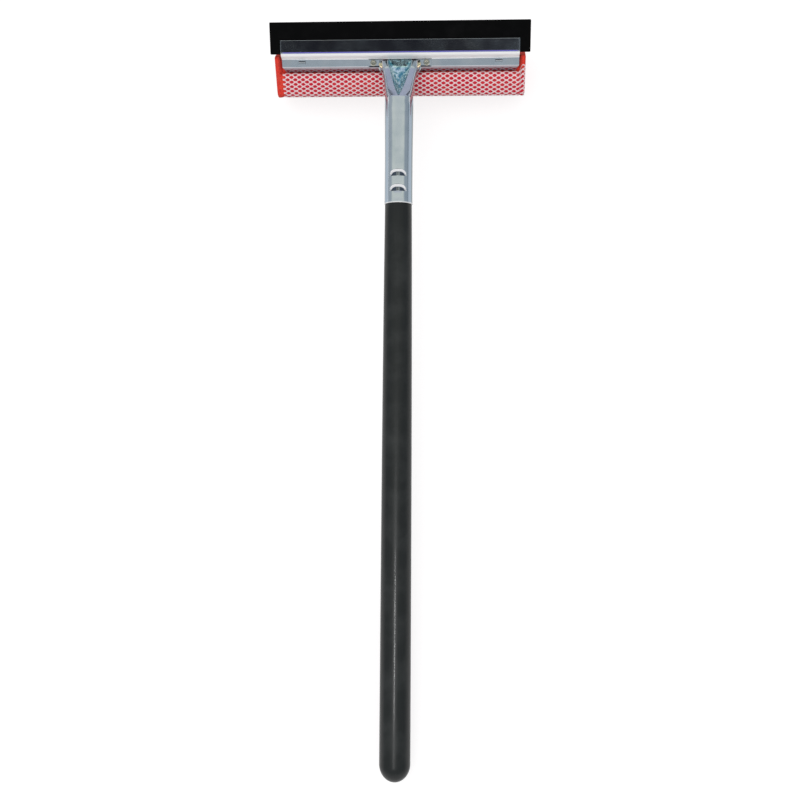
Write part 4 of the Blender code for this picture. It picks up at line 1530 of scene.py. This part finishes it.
@dataclass
class BackPlate:
    """The back plate: a leg behind the rubber, the channel over the foam, and its tabs."""

    finish: bpy.types.Material
    lips: LipForm
    grip_up: float = 0.0100
    rivet_tab: float = 0.0080
    tab_tail: float = 0.0009
    hook_tab: float = 0.0052
    hook_spread: float = 0.0775
    hook_fold: float = 0.0019
    hook_up: float = 0.0006
    hook_bend: float = 0.00055
    tab_root: float = FOLD_BEND * 0.6

    def path(self) -> list[Point]:
        """The plate's middle line from the leg's top to the back lip's end."""
        leg_out = -(GAP + SHEET / 2)
        foot_up, _ = WEB.of(BLADE.at(0, leg_out))
        drop = (foot_up - self.lips.top_wall_up) / math.cos(WEB.lean - BLADE.lean)
        low = self.lips.top_wall_up - self.lips.back_wall
        corners = [
            BLADE.at(self.grip_up, leg_out),
            BLADE.at(-drop, leg_out),
            WEB.at(self.lips.top_wall_up, self.lips.back_wall_out),
            WEB.at(low, self.lips.back_wall_out),
            WEB.at(*self.lips.back_end()),
        ]
        return bent_path(corners, [FOLD_BEND] * 3)

    def window(self, x: float, width: float, length: float) -> Piece:
        """The cutter for the window that a tab was bent out of.

        Args:
            x: The tab's place along the head.
            width: Its width.
            length: Its length before it was bent.

        Returns:
            The cutter.
        """
        start = TAB_OUT - SHEET / 2 - GAP - FOLD_BEND
        up = self.lips.top_wall_up
        cutter = Bench.block(
            "tab_window",
            Vector((x - width / 2, up - SHEET, start - length)),
            Vector((x + width / 2, up + SHEET, start)),
        )
        Bench.place(cutter, WEB.matrix())
        return cutter

    @staticmethod
    def join_tab(piece: Piece, tab: Piece) -> None:
        """Gives a tab its wall and joins it to the plate."""
        Bench.wall(tab, SHEET, 0)
        Bench.combine(piece, tab, "UNION")

    def add_rivet_tab(self, piece: Piece, x: float) -> None:
        """Lances one tab that a rivet holds behind the web.

        Args:
            piece: The plate.
            x: The tab's place along the head.
        """
        tail = self.tab_tail - WEB_HEIGHT / 2
        up = self.lips.top_wall_up
        Bench.combine(piece, self.window(x, self.rivet_tab, up - tail), "DIFFERENCE")
        path = [WEB.at(up + self.tab_root, TAB_OUT), WEB.at(tail, TAB_OUT)]
        self.join_tab(piece, Bench.folded("rivet_tab", path, self.rivet_tab / 2, x))

    def add_hook_tab(self, piece: Piece, x: float) -> None:
        """Lances one tab that hooks through a slot of the web.

        Args:
            piece: The plate.
            x: The tab's place along the head.
        """
        face, up = GAP + SHEET / 2, self.lips.top_wall_up
        length = up - self.hook_up + face - TAB_OUT + self.hook_fold
        Bench.combine(piece, self.window(x, self.hook_tab, length), "DIFFERENCE")
        corners = [
            WEB.at(up + self.tab_root, TAB_OUT),
            WEB.at(self.hook_up, TAB_OUT),
            WEB.at(self.hook_up, face),
            WEB.at(self.hook_up - self.hook_fold, face),
        ]
        path = bent_path(corners, [self.hook_bend] * 2, 6)
        self.join_tab(piece, Bench.folded("hook_tab", path, self.hook_tab / 2, x))

    def build(self) -> Piece:
        """Folds the plate, lances its tabs and dresses it."""
        path = self.path()
        piece = Bench.folded("folded_back_plate", path, HEAD_LENGTH / 2)
        Bench.wall(piece, SHEET, 0)
        for side in Side:
            self.add_rivet_tab(piece, side.value * RIVET_SPREAD)
            self.add_hook_tab(piece, side.value * self.hook_spread)
        Bench.ease_edges(piece, 0.00012)
        Bench.dress(piece, self.finish, 30, flat=True)
        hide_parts("back_plate")
        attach(piece, "root")
        return piece


@dataclass
class Rivet:
    """A tubular rivet: a rolled head with a hollow, a shank, and a set tail."""

    finish: bpy.types.Material
    shank: float = 0.0014
    head: float = 0.0024
    head_height: float = 0.0006
    hollow: float = 0.0010
    roll_steps: int = 10
    sides: int = 48

    def profile(self) -> list[Point]:
        """The (radius, out) points from the hollow's floor over the head to the tail."""
        base = GAP + SOCKET_WALL + GAP
        crest = (self.head + self.hollow) / 2
        half = (self.head - self.hollow) / 2
        points = [(self.hollow * 0.5, base - 0.9 * GAP), (self.hollow * 0.9, base - 0.8 * GAP)]
        for i in range(self.roll_steps + 1):
            turn = math.pi * i / self.roll_steps
            rise = self.head_height * (0.25 + 0.75 * math.sin(turn))
            points.append((crest - half * math.cos(turn), base + rise))
        tail = RIVET_TAIL_OUT
        points += [(self.head, base), (self.shank, base), (self.shank, tail), (self.head, tail)]
        return points + [(self.head * 0.98, tail - RIVET_TAIL * 0.5), (self.head * 0.8, tail - RIVET_TAIL)]

    def build(self, side: Side) -> Piece:
        """Turns one rivet and sets it through the ear.

        Args:
            side: The ear that it holds.

        Returns:
            The rivet.
        """
        piece = Bench.turned(f"set_rivet_{side.name.lower()}", self.profile(), self.sides)
        Bench.place(piece, Matrix.Translation((side.value * RIVET_SPREAD, 0, 0)))
        Bench.place(piece, WEB.matrix())
        Bench.dress(piece, self.finish, 45, flat=True)
        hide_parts(f"ear_rivet_{side.name.lower()}")
        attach(piece, "root")
        return piece


# ------------------------------
# Rubber blade
# ------------------------------


@dataclass
class RubberBlade:
    """The rubber: a flat strip with rounded corners and just-broken long edges."""

    finish: bpy.types.Material
    length: float = 0.2032
    height: float = 0.0240
    thickness: float = 0.0040
    corner: float = 0.0008
    edge: float = 0.00012
    foot_edge: float = 0.0007

    def build(self) -> Piece:
        """Models the strip in the blade's own place, and dresses it."""
        half = self.length / 2
        piece = Bench.block(
            "rubber_strip", Vector((-half, 0, 0)), Vector((half, self.height, self.thickness))
        )
        Bench.edit(piece, "EDGE")
        Bench.pick("edges", lambda a, b: abs(a.z - b.z) > self.thickness / 2)
        bpy.ops.mesh.bevel(offset=self.corner, segments=6, affect="EDGES")
        bpy.ops.mesh.select_all(action="DESELECT")
        Bench.pick("edges", lambda a, b: max(a.y, b.y) < TOUCH and min(a.z, b.z) > self.thickness / 2)
        bpy.ops.mesh.bevel(offset=self.foot_edge, segments=4, affect="EDGES")
        bpy.ops.mesh.select_all(action="DESELECT")
        Bench.pick("edges", lambda a, b: min(a.y, b.y) > self.height - TOUCH and abs(a.z - b.z) < TOUCH)
        bpy.ops.mesh.bevel(offset=self.edge, segments=2, affect="EDGES")
        Bench.leave()
        Bench.place(piece, BLADE.matrix())
        Bench.dress(piece, self.finish, 30, flat=True)
        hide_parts("rubber_blade")
        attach(piece, "root")
        return piece


# ------------------------------
# Foam and net
# ------------------------------


def arc(centre: Point, radius: float, start: float, end: float, steps: int) -> list[Point]:
    """Points of an arc in (up, out), with angles in degrees from up towards out.

    Args:
        centre: Its middle.
        radius: Its radius.
        start: The angle of its first point.
        end: The angle of its last point.
        steps: Its segments.

    Returns:
        The points.
    """
    points = []
    for i in range(steps + 1):
        angle = math.radians(mix(start, end, i / steps))
        points.append((centre[0] + radius * math.cos(angle), centre[1] + radius * math.sin(angle)))
    return points


@dataclass
class Mesh:
    """The knitted net's repeat: diamond cells with an oval opening in each."""

    across: float = 0.0062
    along: float = 0.00355
    hole_across: float = 0.0031
    hole_along: float = 0.0021
    crest: float = 0.0006

    def opening(self, x: float, run: float) -> float:
        """How far inside an opening a point lies: 1 at its middle, 0 under a strand.

        Args:
            x: The distance along the head.
            run: The distance round the foam.

        Returns:
            The share from 0 to 1.
        """
        best = 0.0
        for shift in (0.0, 0.5):
            dx = (x / self.across - shift + 0.5) % 1 - 0.5
            dy = (run / self.along - shift + 0.5) % 1 - 0.5
            wide, high = self.hole_across / 2, self.hole_along / 2
            reach = math.hypot(dx * self.across / wide, dy * self.along / high)
            best = max(best, 1 - reach / 1.35)
        return best


@dataclass
class FoamForm:
    """The foam's sections: squeezed in the channel, and free beyond the plates."""

    lips: LipForm
    overhangs: Point = (0.0058, 0.0050)
    end_swells: Point = (0.075, 0.015)
    height: float = 0.0316
    top: float = 0.0042
    top_corner: float = 0.0012
    foot_corner: float = 0.0050
    end_edge: float = 0.0012
    recovery: float = 0.62
    crown: float = 0.0005
    bulge_run: float = 0.0045
    crease_out: float = 0.00060
    crease_down: float = 0.00045
    release_lead: float = 0.0002

    @property
    def face(self) -> float:
        """The free foam's front."""
        return self.lips.foam_face

    @property
    def rear(self) -> float:
        """The free foam's back."""
        return self.lips.foam_face - self.lips.foam_thickness

    @property
    def middle(self) -> Point:
        """The middle of the free foam's section."""
        return self.top - self.height / 2, (self.face + self.rear) / 2

    def overhang(self, x: float) -> float:
        """How far the foam runs past the plates at the left or the right end."""
        return self.overhangs[0 if x < 0 else 1]

    def swollen(self, x: float, up: float, out: float, share: float) -> float:
        """The height of a point once its free end has swollen, most at the front face."""
        forward = min(max((out - self.rear) / self.lips.foam_thickness, 0.0), 1.0)
        return up + share * forward * self.end_swells[0 if x < 0 else 1] * (up - self.middle[0])

    def creases(self) -> tuple[Point, Point]:
        """Where the foam turns out again under the front and the back lip."""
        reach = self.lips.length + GAP
        turn_up, turn_out = reach * math.cos(self.lips.turn), reach * math.sin(self.lips.turn)
        front = (-WEB_HEIGHT / 2 - turn_up, -SHEET / 2 - turn_out)
        back = (self.lips.top_wall_up - self.lips.back_wall - turn_up, self.lips.back_wall_out + turn_out)
        return front, back

    def wrap(self) -> list[Point]:
        """The foam's surface from the front crease down, round and up to the back crease."""
        front, back = self.creases()
        foot, bend, side, tuck = self.top - self.height, self.foot_corner, self.crease_out, self.crease_down
        shares = [(i / 8, math.sin(math.pi / 2 * (i / 8)) ** 0.85) for i in range(9)]
        points = [
            (mix(front[0] - tuck, front[0] - self.bulge_run, s), mix(front[1] + side, self.face, rise))
            for s, rise in shares
        ]
        points.append((mix(front[0] - self.bulge_run, foot + bend, 0.5), self.face + self.crown))
        points += arc((foot + bend, self.face - bend), bend, 90, 180, 14)
        points.append((foot - self.crown, (self.face + self.rear) / 2))
        points += arc((foot + bend, self.rear + bend), bend, 180, 270, 14)
        points.append((mix(back[0] - self.bulge_run, foot + bend, 0.5), self.rear - self.crown))
        points += [
            (mix(back[0] - tuck, back[0] - self.bulge_run, s), mix(back[1] - side, self.rear, rise))
            for s, rise in reversed(shares)
        ]
        return points

    def freed(self, points: Sequence[Point]) -> list[Point]:
        """Points of the squeezed section let out to the free faces."""
        foot = self.top - self.height + self.foot_corner
        middle = self.middle[1]
        return [(up, out if up <= foot else self.face if out > middle else self.rear) for up, out in points]

    def sections(self) -> tuple[list[Point], list[Point]]:
        """The closed outline inside the channel and beyond the plates, point for point."""
        front, back = self.creases()
        lips, corner, top = self.lips, self.top_corner, self.top
        front_behind = (front[0] - GAP, min(front[1] - SHEET, lips.channel_front))
        back_behind = (back[0] - GAP, max(back[1] + SHEET, lips.channel_back))
        outline = [(-WEB_HEIGHT / 2, lips.channel_front), front_behind] + self.wrap()
        outline += [back_behind, (lips.top_wall_up - lips.back_wall, lips.channel_back)]

        def closed(points: list[Point], rear: float, face: float) -> list[Point]:
            """An outline closed over the foam's top, by its two rounded corners."""
            points = points + arc((top - corner, rear + corner), corner, 270, 360, 5)
            return points + arc((top - corner, face - corner), corner, 0, 90, 5)

        squeezed = closed(outline, lips.channel_back, lips.channel_front)
        return squeezed, closed(self.freed(outline), self.rear, self.face)

    def release(self, x: float) -> tuple[float, float]:
        """How far the foam is let out at this X, and its scale about its middle.

        Args:
            x: The distance along the head.

        Returns:
            The share from 0 to 1, and the scale.
        """
        overhang = self.overhang(x)
        plate, edge = HEAD_LENGTH / 2, min(self.end_edge, overhang * (1 - self.recovery))
        reach, run = abs(x), (overhang - GAP) * self.recovery
        past = reach - plate + self.release_lead
        share = smooth(past / run) if past > 0 else 0.0
        into = (reach - (plate + overhang - edge)) / edge
        scale = 1.0
        if into > 0:
            drop = edge / (self.height / 2)
            scale = 1 - drop * (1 - math.sqrt(max(0.0, 1 - min(into, 1.0) ** 2)))
        return share, scale


class Course:
    """An open or closed polyline that is walked by the distance along it."""

    def __init__(self, points: Sequence[Point]) -> None:
        """Measures the polyline."""
        self.points = np.array(points, dtype=float)
        steps = np.linalg.norm(np.diff(self.points, axis=0), axis=1)
        self.marks = np.concatenate([[0.0], np.cumsum(steps)])

    @property
    def length(self) -> float:
        """The whole distance along it."""
        return float(self.marks[-1])

    def at(self, distance: float) -> Point:
        """The point at this distance from its start.

        Args:
            distance: The distance.

        Returns:
            The point.
        """
        return (
            float(np.interp(distance, self.marks, self.points[:, 0])),
            float(np.interp(distance, self.marks, self.points[:, 1])),
        )

    def normal(self, distance: float, reach: float = 0.0004) -> Point:
        """The outward direction there, taken over a short reach."""
        before, after = self.at(distance - reach), self.at(distance + reach)
        run = math.hypot(after[0] - before[0], after[1] - before[1]) or 1.0
        return (after[1] - before[1]) / run, -(after[0] - before[0]) / run


@dataclass
class Sponge:
    """The foam block, gripped at its top and pressed up into the net's openings."""

    finish: bpy.types.Material
    form: FoamForm
    knit: Mesh
    net_left: float
    net_right: float
    lift: float = 0.0002
    pillow: float = 0.0007
    net_ease: float = 0.002
    crease_ease: float = 0.003
    around: int = 200
    along: int = 190

    def resampled(self) -> tuple[np.ndarray, np.ndarray, np.ndarray]:
        """Both outlines at even steps, and each point's distance along the wrap.

        Returns:
            The squeezed and the free outline as (up, out) rows, closed, and the distance
            from the front crease, or -1 off the wrap.
        """
        squeezed, free = self.form.sections()
        tight, loose = np.array(squeezed + squeezed[:1]), np.array(free + free[:1])
        marks = np.concatenate([[0.0], np.cumsum(np.linalg.norm(np.diff(tight, axis=0), axis=1) + 1e-5)])
        even = np.linspace(0, marks[-1], self.around + 1)
        fine = [
            np.stack([np.interp(even, marks, line[:, i]) for i in (0, 1)], axis=1) for line in (tight, loose)
        ]
        first, count = 2, len(self.form.wrap())
        start, end = marks[first], marks[first + count - 1]
        wrap_length = Course(self.form.wrap()).length
        run = np.where((even >= start) & (even <= end), (even - start) / (end - start) * wrap_length, -1.0)
        return fine[0], fine[1], run

    def stations(self) -> list[float]:
        """X of each drawn section, closer together at the ends."""
        plate, edge = HEAD_LENGTH / 2, self.form.end_edge
        marks = [mix(-plate + 0.0005, plate - 0.0005, i / self.along) for i in range(self.along + 1)]
        for side in Side:
            half = plate + self.form.overhang(side.value)
            outer = [mix(plate, half - edge, i / 9) for i in range(10)]
            outer += [half - edge + edge * math.sin(math.pi / 2 * i / 6) for i in range(1, 7)]
            marks += [side.value * x for x in outer]
        return sorted(marks)

    def build(self) -> Piece:
        """Forms the foam, with a pillow in each opening of the net."""
        tight, loose, run = self.resampled()
        marks = self.stations()
        middle = self.form.middle
        normals = self.outward(tight)
        length = float(run.max())

        def covered(x: float) -> float:
            """1 where the net lies over the foam, and 0 beyond its ends."""
            inside = (x - self.net_left, self.net_right - x)
            return smooth(inside[0] / self.net_ease) * smooth(inside[1] / self.net_ease)

        def point(round_share: float, along_share: float) -> Spot:
            """A point of the foam's skin at two shares of the grid.

            Args:
                round_share: The share round the foam.
                along_share: The share from left to right.

            Returns:
                The point.
            """
            i = round(round_share * self.around)
            x = marks[round(along_share * (len(marks) - 1))]
            share, scale = self.form.release(x)
            up, out = tight[i] * (1 - share) + loose[i] * share
            if run[i] >= 0:
                near_end = smooth(min(run[i], length - run[i]) / self.crease_ease)
                puff = self.knit.opening(x, run[i]) * covered(x)
                rise = (self.lift + self.pillow * smooth(puff * 1.3)) * near_end
                rise *= 1 - share * (1 - covered(x))
                up, out = up + normals[i][0] * rise, out + normals[i][1] * rise
            up = mix(middle[0], self.form.swollen(x, up, out, share), scale)
            out = mix(middle[1], out, scale)
            return (x, *WEB.at(up, out))

        piece = Bench.web("foam_sponge", self.around, len(marks) - 1, point)
        wrapped = run >= 0
        # The covered mark also tells the foam's finish where to paint the net's shade.
        Bench.mark(piece, "covered", lambda v: covered(v.co.x) * wrapped[v.index % (self.around + 1)])
        Bench.edit(piece, "EDGE", whole=True)
        bpy.ops.mesh.remove_doubles(threshold=TOUCH)
        bpy.ops.mesh.select_all(action="DESELECT")
        bpy.ops.mesh.select_non_manifold()
        bpy.ops.mesh.fill_holes(sides=0)
        Bench.leave()
        Bench.outward(piece)
        Bench.dress(piece, self.finish, 60)
        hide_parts("sponge")
        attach(piece, "root")
        return piece

    @staticmethod
    def outward(line: np.ndarray) -> np.ndarray:
        """Unit directions out of a closed outline.

        Args:
            line: The (up, out) rows, the last one equal to the first.

        Returns:
            One direction for each row.
        """
        ahead = np.roll(line[:-1], -1, axis=0) - np.roll(line[:-1], 1, axis=0)
        out = np.stack([ahead[:, 1], -ahead[:, 0]], axis=1)
        out /= np.maximum(np.linalg.norm(out, axis=1, keepdims=True), 1e-9)
        return np.concatenate([out, out[:1]])


@dataclass
class Net:
    """The knitted net, drawn tight round the foam from the front lip to the back one."""

    finish: bpy.types.Material
    form: FoamForm
    knit: Mesh
    left: float
    right: float
    rim_lift: float = 0.00035
    end_rise: float = 0.0062
    tuck_run: float = 0.0012
    tucked_lifts: Point = (0.3, 0.25)
    merge: float = 2e-5
    sides: int = 12
    rings: tuple[float, ...] = (0.0, 0.45, 1.0)
    heights: tuple[float, ...] = (0.0, 0.78, 1.0)

    def cell(self) -> Piece:
        """Models one diamond flat: an oval rim, a shoulder, and the crest on its border."""
        bpy.ops.object.select_all(action="DESELECT")
        bpy.ops.mesh.primitive_circle_add(vertices=self.sides, radius=0.5, fill_type="NOTHING")
        piece = Bench.named("net_cell")
        Bench.edit(piece, whole=True)
        for _ in self.rings[1:]:
            bpy.ops.mesh.extrude_region_move(TRANSFORM_OT_translate={"value": (0, 0, 1)})
        Bench.leave()
        # The rings now stand one above the other; each is laid out at its own size.
        for vertex in piece.data.vertices:
            ring = round(vertex.co.z)
            angle = math.atan2(vertex.co.y, vertex.co.x)
            c, s = math.cos(angle), math.sin(angle)
            reach = 1 / (abs(c) + abs(s))
            rim = (c * self.knit.hole_across / 2, s * self.knit.hole_along / 2)
            border = (c * reach * self.knit.across / 2, s * reach * self.knit.along / 2)
            share = self.rings[ring]
            vertex.co = (
                mix(rim[0], border[0], share),
                mix(rim[1], border[1], share),
                self.heights[ring] * self.knit.crest,
            )
        return piece

    def flat(self, length: float) -> Piece:
        """Repeats the cell over the net's flat rectangle, and trims it to size.

        Args:
            length: The distance round the foam, from lip to lip.

        Returns:
            The flat net: X along the head, Y round the foam.
        """
        piece = self.cell()
        knit = self.knit
        first = math.floor(self.left / knit.across) - 1
        columns = math.ceil(self.right / knit.across) + 1 - first
        rows = math.ceil(length / knit.along) + 3
        Bench.take(piece)
        bpy.ops.object.duplicate()
        offset = bpy.context.active_object
        offset.location = (knit.across / 2, knit.along / 2, 0)
        bpy.ops.object.transform_apply(location=True, rotation=False, scale=False)
        Bench.take(piece)
        offset.select_set(True)
        bpy.ops.object.join()
        for count, step in ((columns, (knit.across, 0, 0)), (rows, (0, knit.along, 0))):
            Bench.modify(
                piece,
                "ARRAY",
                count=count,
                use_relative_offset=False,
                use_constant_offset=True,
                constant_offset_displace=step,
                use_merge_vertices=True,
                merge_threshold=self.merge,
            )
        Bench.place(piece, Matrix.Translation((first * knit.across, -knit.along, 0)))
        for co, no in (
            ((self.left, 0, 0), (-1, 0, 0)),
            ((self.right, 0, 0), (1, 0, 0)),
            ((0, 0, 0), (0, -1, 0)),
            ((0, length, 0), (0, 1, 0)),
        ):
            Bench.edit(piece, whole=True)
            bpy.ops.mesh.bisect(plane_co=co, plane_no=no, clear_outer=True)
            Bench.leave()
        Bench.edit(piece, whole=True)
        bpy.ops.mesh.remove_doubles(threshold=self.merge)
        bpy.ops.mesh.normals_make_consistent(inside=False)
        Bench.leave()
        return piece

    def build(self) -> Piece:
        """Knits the flat net, maps it, and wraps it round the foam."""
        tight = Course(self.form.wrap())
        free = self.form.freed(self.form.wrap())
        # Beyond the plate's ends the net lies further up the foam.
        loose = Course([(free[0][0] + self.end_rise, free[0][1]), *free])
        middle = self.form.middle
        piece = self.flat(tight.length)
        layer = piece.data.uv_layers.new(name="flat_net")
        for loop in piece.data.loops:
            at = piece.data.vertices[loop.vertex_index].co
            layer.data[loop.index].uv = (at.x, at.y)
        # The crest mark also tells the yarn's finish where to paint shade on the strands' low sides.
        Bench.mark(piece, "crest", lambda vertex: min(vertex.co.z / self.knit.crest, 1.0))
        for vertex in piece.data.vertices:
            x, run, height = vertex.co
            share, scale = self.form.release(x)
            wide = run * loose.length / tight.length
            a, b = tight.at(run), loose.at(wide)
            na, nb = tight.normal(run), loose.normal(wide)
            # Under the lips the net is drawn flat on the foam.
            tucked = smooth(min(run, tight.length - run) / self.tuck_run)
            rim, rise = (mix(low, 1, tucked) for low in self.tucked_lifts)
            lift = self.rim_lift * rim + height * rise
            up = mix(a[0] + na[0] * lift, b[0] + nb[0] * lift, share)
            out = mix(a[1] + na[1] * lift, b[1] + nb[1] * lift, share)
            up = self.form.swollen(x, up, out, share)
            vertex.co = (x, *WEB.at(mix(middle[0], up, scale), mix(middle[1], out, scale)))
        piece.data.update()
        self.face_out(piece)
        piece.name = piece.data.name = "knitted_net"
        Bench.dress(piece, self.finish, 75)
        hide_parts("net")
        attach(piece, "root")
        return piece

    def face_out(self, piece: Piece) -> None:
        """Turns the net's faces away from the foam.

        Args:
            piece: The wrapped net.
        """
        middle = Vector((0, *WEB.at(*self.form.middle)))
        score = sum((face.center - middle).dot(face.normal) * face.area for face in piece.data.polygons)
        if score < 0:
            Bench.flip(piece)


# ------------------------------
# Studio
# ------------------------------


@dataclass
class Studio:
    """A white floor, a soft tent of light, two lamps, and the picture's camera."""

    camera_place: Spot = (0.0477, -0.1634, 0.8507)
    camera_turn: Spot = (-0.79, -3.06, -0.38)
    focal: float = 49.5
    sensor: float = 36
    floor_half: float = 3.0
    floor_glow: float = 0.78
    white: Colour = (1, 0.99, 0.993)
    plain_light: float = 0.78
    sides: Colour = (0.41, 0.46, 0.50)
    right_side: Colour = (0.33, 0.39, 0.44)
    overhead: Spot = (-0.08, 0.30, 0.95)
    overhead_light: Colour = (0.72, 0.77, 0.71)
    head_side: Colour = (0.45, 0.48, 0.60)
    butt_side: Colour = (1.25, 1.24, 1.25)
    lens_dark: Colour = (0.010, 0.011, 0.016)
    lens_gap: Spot = (-0.09, -0.37, 0.93)

    def add_camera(self) -> None:
        """Sets up the camera where the picture was taken."""
        x, y, z = (math.radians(angle) for angle in self.camera_turn)
        turn = Matrix.Rotation(z, 3, "Z") @ Matrix.Rotation(x, 3, "X") @ Matrix.Rotation(y, 3, "Y")
        place = turn.transposed().to_4x4()
        place.translation = Vector(self.camera_place)
        lens = bpy.data.cameras.new("picture_camera")
        lens.lens, lens.sensor_width = self.focal, self.sensor
        camera = bpy.data.objects.new("picture_camera", lens)
        bpy.context.collection.objects.link(camera)
        camera.matrix_world = TOOL.matrix() @ place
        bpy.context.scene.camera = camera

    def add_floor(self) -> None:
        """Lays a matt white floor that keeps the tool's shadow."""
        bpy.ops.object.select_all(action="DESELECT")
        bpy.ops.mesh.primitive_plane_add(size=2 * self.floor_half, location=(0, 0, 0))
        floor = Bench.named("studio_floor")
        recipe = Recipe("white_floor")
        recipe.finish(Base_Color=(0.32, 0.32, 0.32), Roughness=0.9, Specular_IOR_Level=0.1)
        path = recipe.node("LightPath")
        seen = recipe.sum("MAXIMUM", path.outputs["Is Camera Ray"], path.outputs["Is Glossy Ray"])
        seen = recipe.sum("MAXIMUM", seen, path.outputs["Is Transmission Ray"])
        strength = recipe.sum("MULTIPLY", seen, self.floor_glow)
        glow = recipe.node("Emission", Color=self.white, Strength=strength)
        both = recipe.shaders("AddShader", recipe.shader.outputs[0], glow.outputs[0])
        recipe.feed(recipe.tree.nodes["Material Output"].inputs["Surface"], both)
        floor.data.materials.append(recipe.material)

    def add_tent(self) -> None:
        """Makes the light tent: plain for matt surfaces, brighter overhead for bright ones."""
        world = bpy.data.worlds.new("light_tent")
        bpy.context.scene.world = world
        world.use_nodes = True
        world.node_tree.nodes.clear()
        tent = Nodes(world.node_tree)
        where = tent.node("TexCoord").outputs["Generated"]

        def near(direction: Spot, inner: float, outer: float, narrow: float = 1) -> Wire:
            """1 within an angle of a direction, falling to 0 at a wider one, in degrees.

            Args:
                direction: The middle of the patch.
                inner: The angle at which it starts to fall.
                outer: The angle at which it ends.
                narrow: Scale of the sideways angle; below 1 the patch is wider.

            Returns:
                The share of the patch.
            """
            turned = tent.step("VectorMath", "MULTIPLY", where, (narrow, 1, 1)).outputs[0]
            turned = tent.step("VectorMath", "NORMALIZE", turned, (0, 0, 0)).outputs[0]
            middle = Vector((direction[0] * narrow, *direction[1:])).normalized()
            dot = tent.step("VectorMath", "DOT_PRODUCT", turned, middle).outputs["Value"]
            low, high = math.cos(math.radians(outer)), math.cos(math.radians(inner))
            span = tent.node("MapRange", Value=dot, From_Min=low, From_Max=high)
            span.interpolation_type = "SMOOTHSTEP"
            return span.outputs["Result"]

        seen = tent.blend(near((1, 0, 0.15), 30, 85), self.sides, self.right_side)
        for patch, light in (
            (near(self.overhead, 22, 34, 0.45), self.overhead_light),
            (near((0, 1, 0.35), 25, 75), self.head_side),
            (near((0, -1, -0.05), 25, 35, 0.4), self.butt_side),
            (near(self.lens_gap, 3, 22), self.lens_dark),
        ):
            seen = tent.blend(patch, seen, light)
        rays = tent.node("LightPath").outputs
        glossy = tent.node("Background", Color=seen).outputs[0]
        plain = tent.node("Background", Color=(1, 1, 1), Strength=self.plain_light).outputs[0]
        backdrop = tent.node("Background", Color=self.white, Strength=1.0).outputs[0]
        unseen = tent.shaders("MixShader", rays["Is Glossy Ray"], plain, glossy)
        tent.node("OutputWorld", Surface=tent.shaders("MixShader", rays["Is Camera Ray"], unseen, backdrop))

    def add_lamp(self, name: str, place: Spot, target: Spot, watts: float, size: Point) -> Piece:
        """Hangs one oblong lamp.

        Args:
            name: The lamp's name.
            place: Where it hangs.
            target: What it points at.
            watts: Its power.
            size: Its two sides in metres.

        Returns:
            The lamp.
        """
        light = bpy.data.lights.new(name, "AREA")
        light.shape, light.energy = "RECTANGLE", watts
        light.size, light.size_y = size
        lamp = bpy.data.objects.new(name, light)
        bpy.context.collection.objects.link(lamp)
        lamp.location = place
        lamp.rotation_euler = (Vector(target) - Vector(place)).to_track_quat("-Z", "Y").to_euler()
        return lamp

    def build(self) -> None:
        """Sets up the whole studio, with one lamp that lights the handle alone."""
        bpy.context.scene.view_settings.view_transform = "Standard"
        self.add_camera()
        self.add_floor()
        self.add_tent()
        soft = self.add_lamp("soft_box", (-0.35, 0.1, 1.6), (0, 0, 0), 6.5, (1.2, 1.2))
        soft.visible_glossy = False
        streak = self.add_lamp("strip_lamp", (-0.07, -0.52, 1.20), (0, -0.18, 0.03), 7.0, (0.04, 0.26))
        lit = bpy.data.collections.new("lit_by_strip")
        lit.objects.link(bpy.data.objects["painted_handle"])
        streak.light_linking.receiver_collection = lit


# ------------------------------
# The whole tool
# ------------------------------


@dataclass
class Squeegee:
    """The squeegee: its finishes, its shared forms, and its pieces in building order."""

    net_left: float = -0.0003 - HEAD_LENGTH / 2
    net_right: float = HEAD_LENGTH / 2 + 0.0048
    crimps: Crimps = field(default_factory=Crimps)
    lips: LipForm = field(default_factory=LipForm)
    knit: Mesh = field(default_factory=Mesh)

    def build(self) -> list[Piece]:
        """Builds every piece and reports it."""
        zinc = ZincPlate().make()
        form = FoamForm(self.lips)
        straw = ZincPlate(name="straw_zinc_plate", bright=(0.52, 0.50, 0.41), dull=(0.36, 0.35, 0.30))
        rivet = Rivet(straw.make())
        makers = [
            Handle(BlackPaint().make(), self.crimps).build,
            Socket(zinc, self.crimps).build,
            FrontPlate(zinc, self.lips).build,
            BackPlate(zinc, self.lips).build,
            RubberBlade(BladeRubber().make()).build,
            Sponge(OpenCellFoam().make(), form, self.knit, self.net_left, self.net_right).build,
            Net(NetYarn().make(), form, self.knit, self.net_left, self.net_right).build,
            lambda: rivet.build(Side.LEFT),
            lambda: rivet.build(Side.RIGHT),
        ]
        pieces = []
        for make in makers:
            piece = make()
            LOG.info("%s: %d faces", piece.name, len(piece.data.polygons))
            pieces.append(piece)
        return pieces


def main() -> None:
    """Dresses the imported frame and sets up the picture."""
    logging.basicConfig(level=logging.INFO, format="%(message)s")
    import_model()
    Squeegee().build()
    Studio().build()


if __name__ == "__main__":
    main()
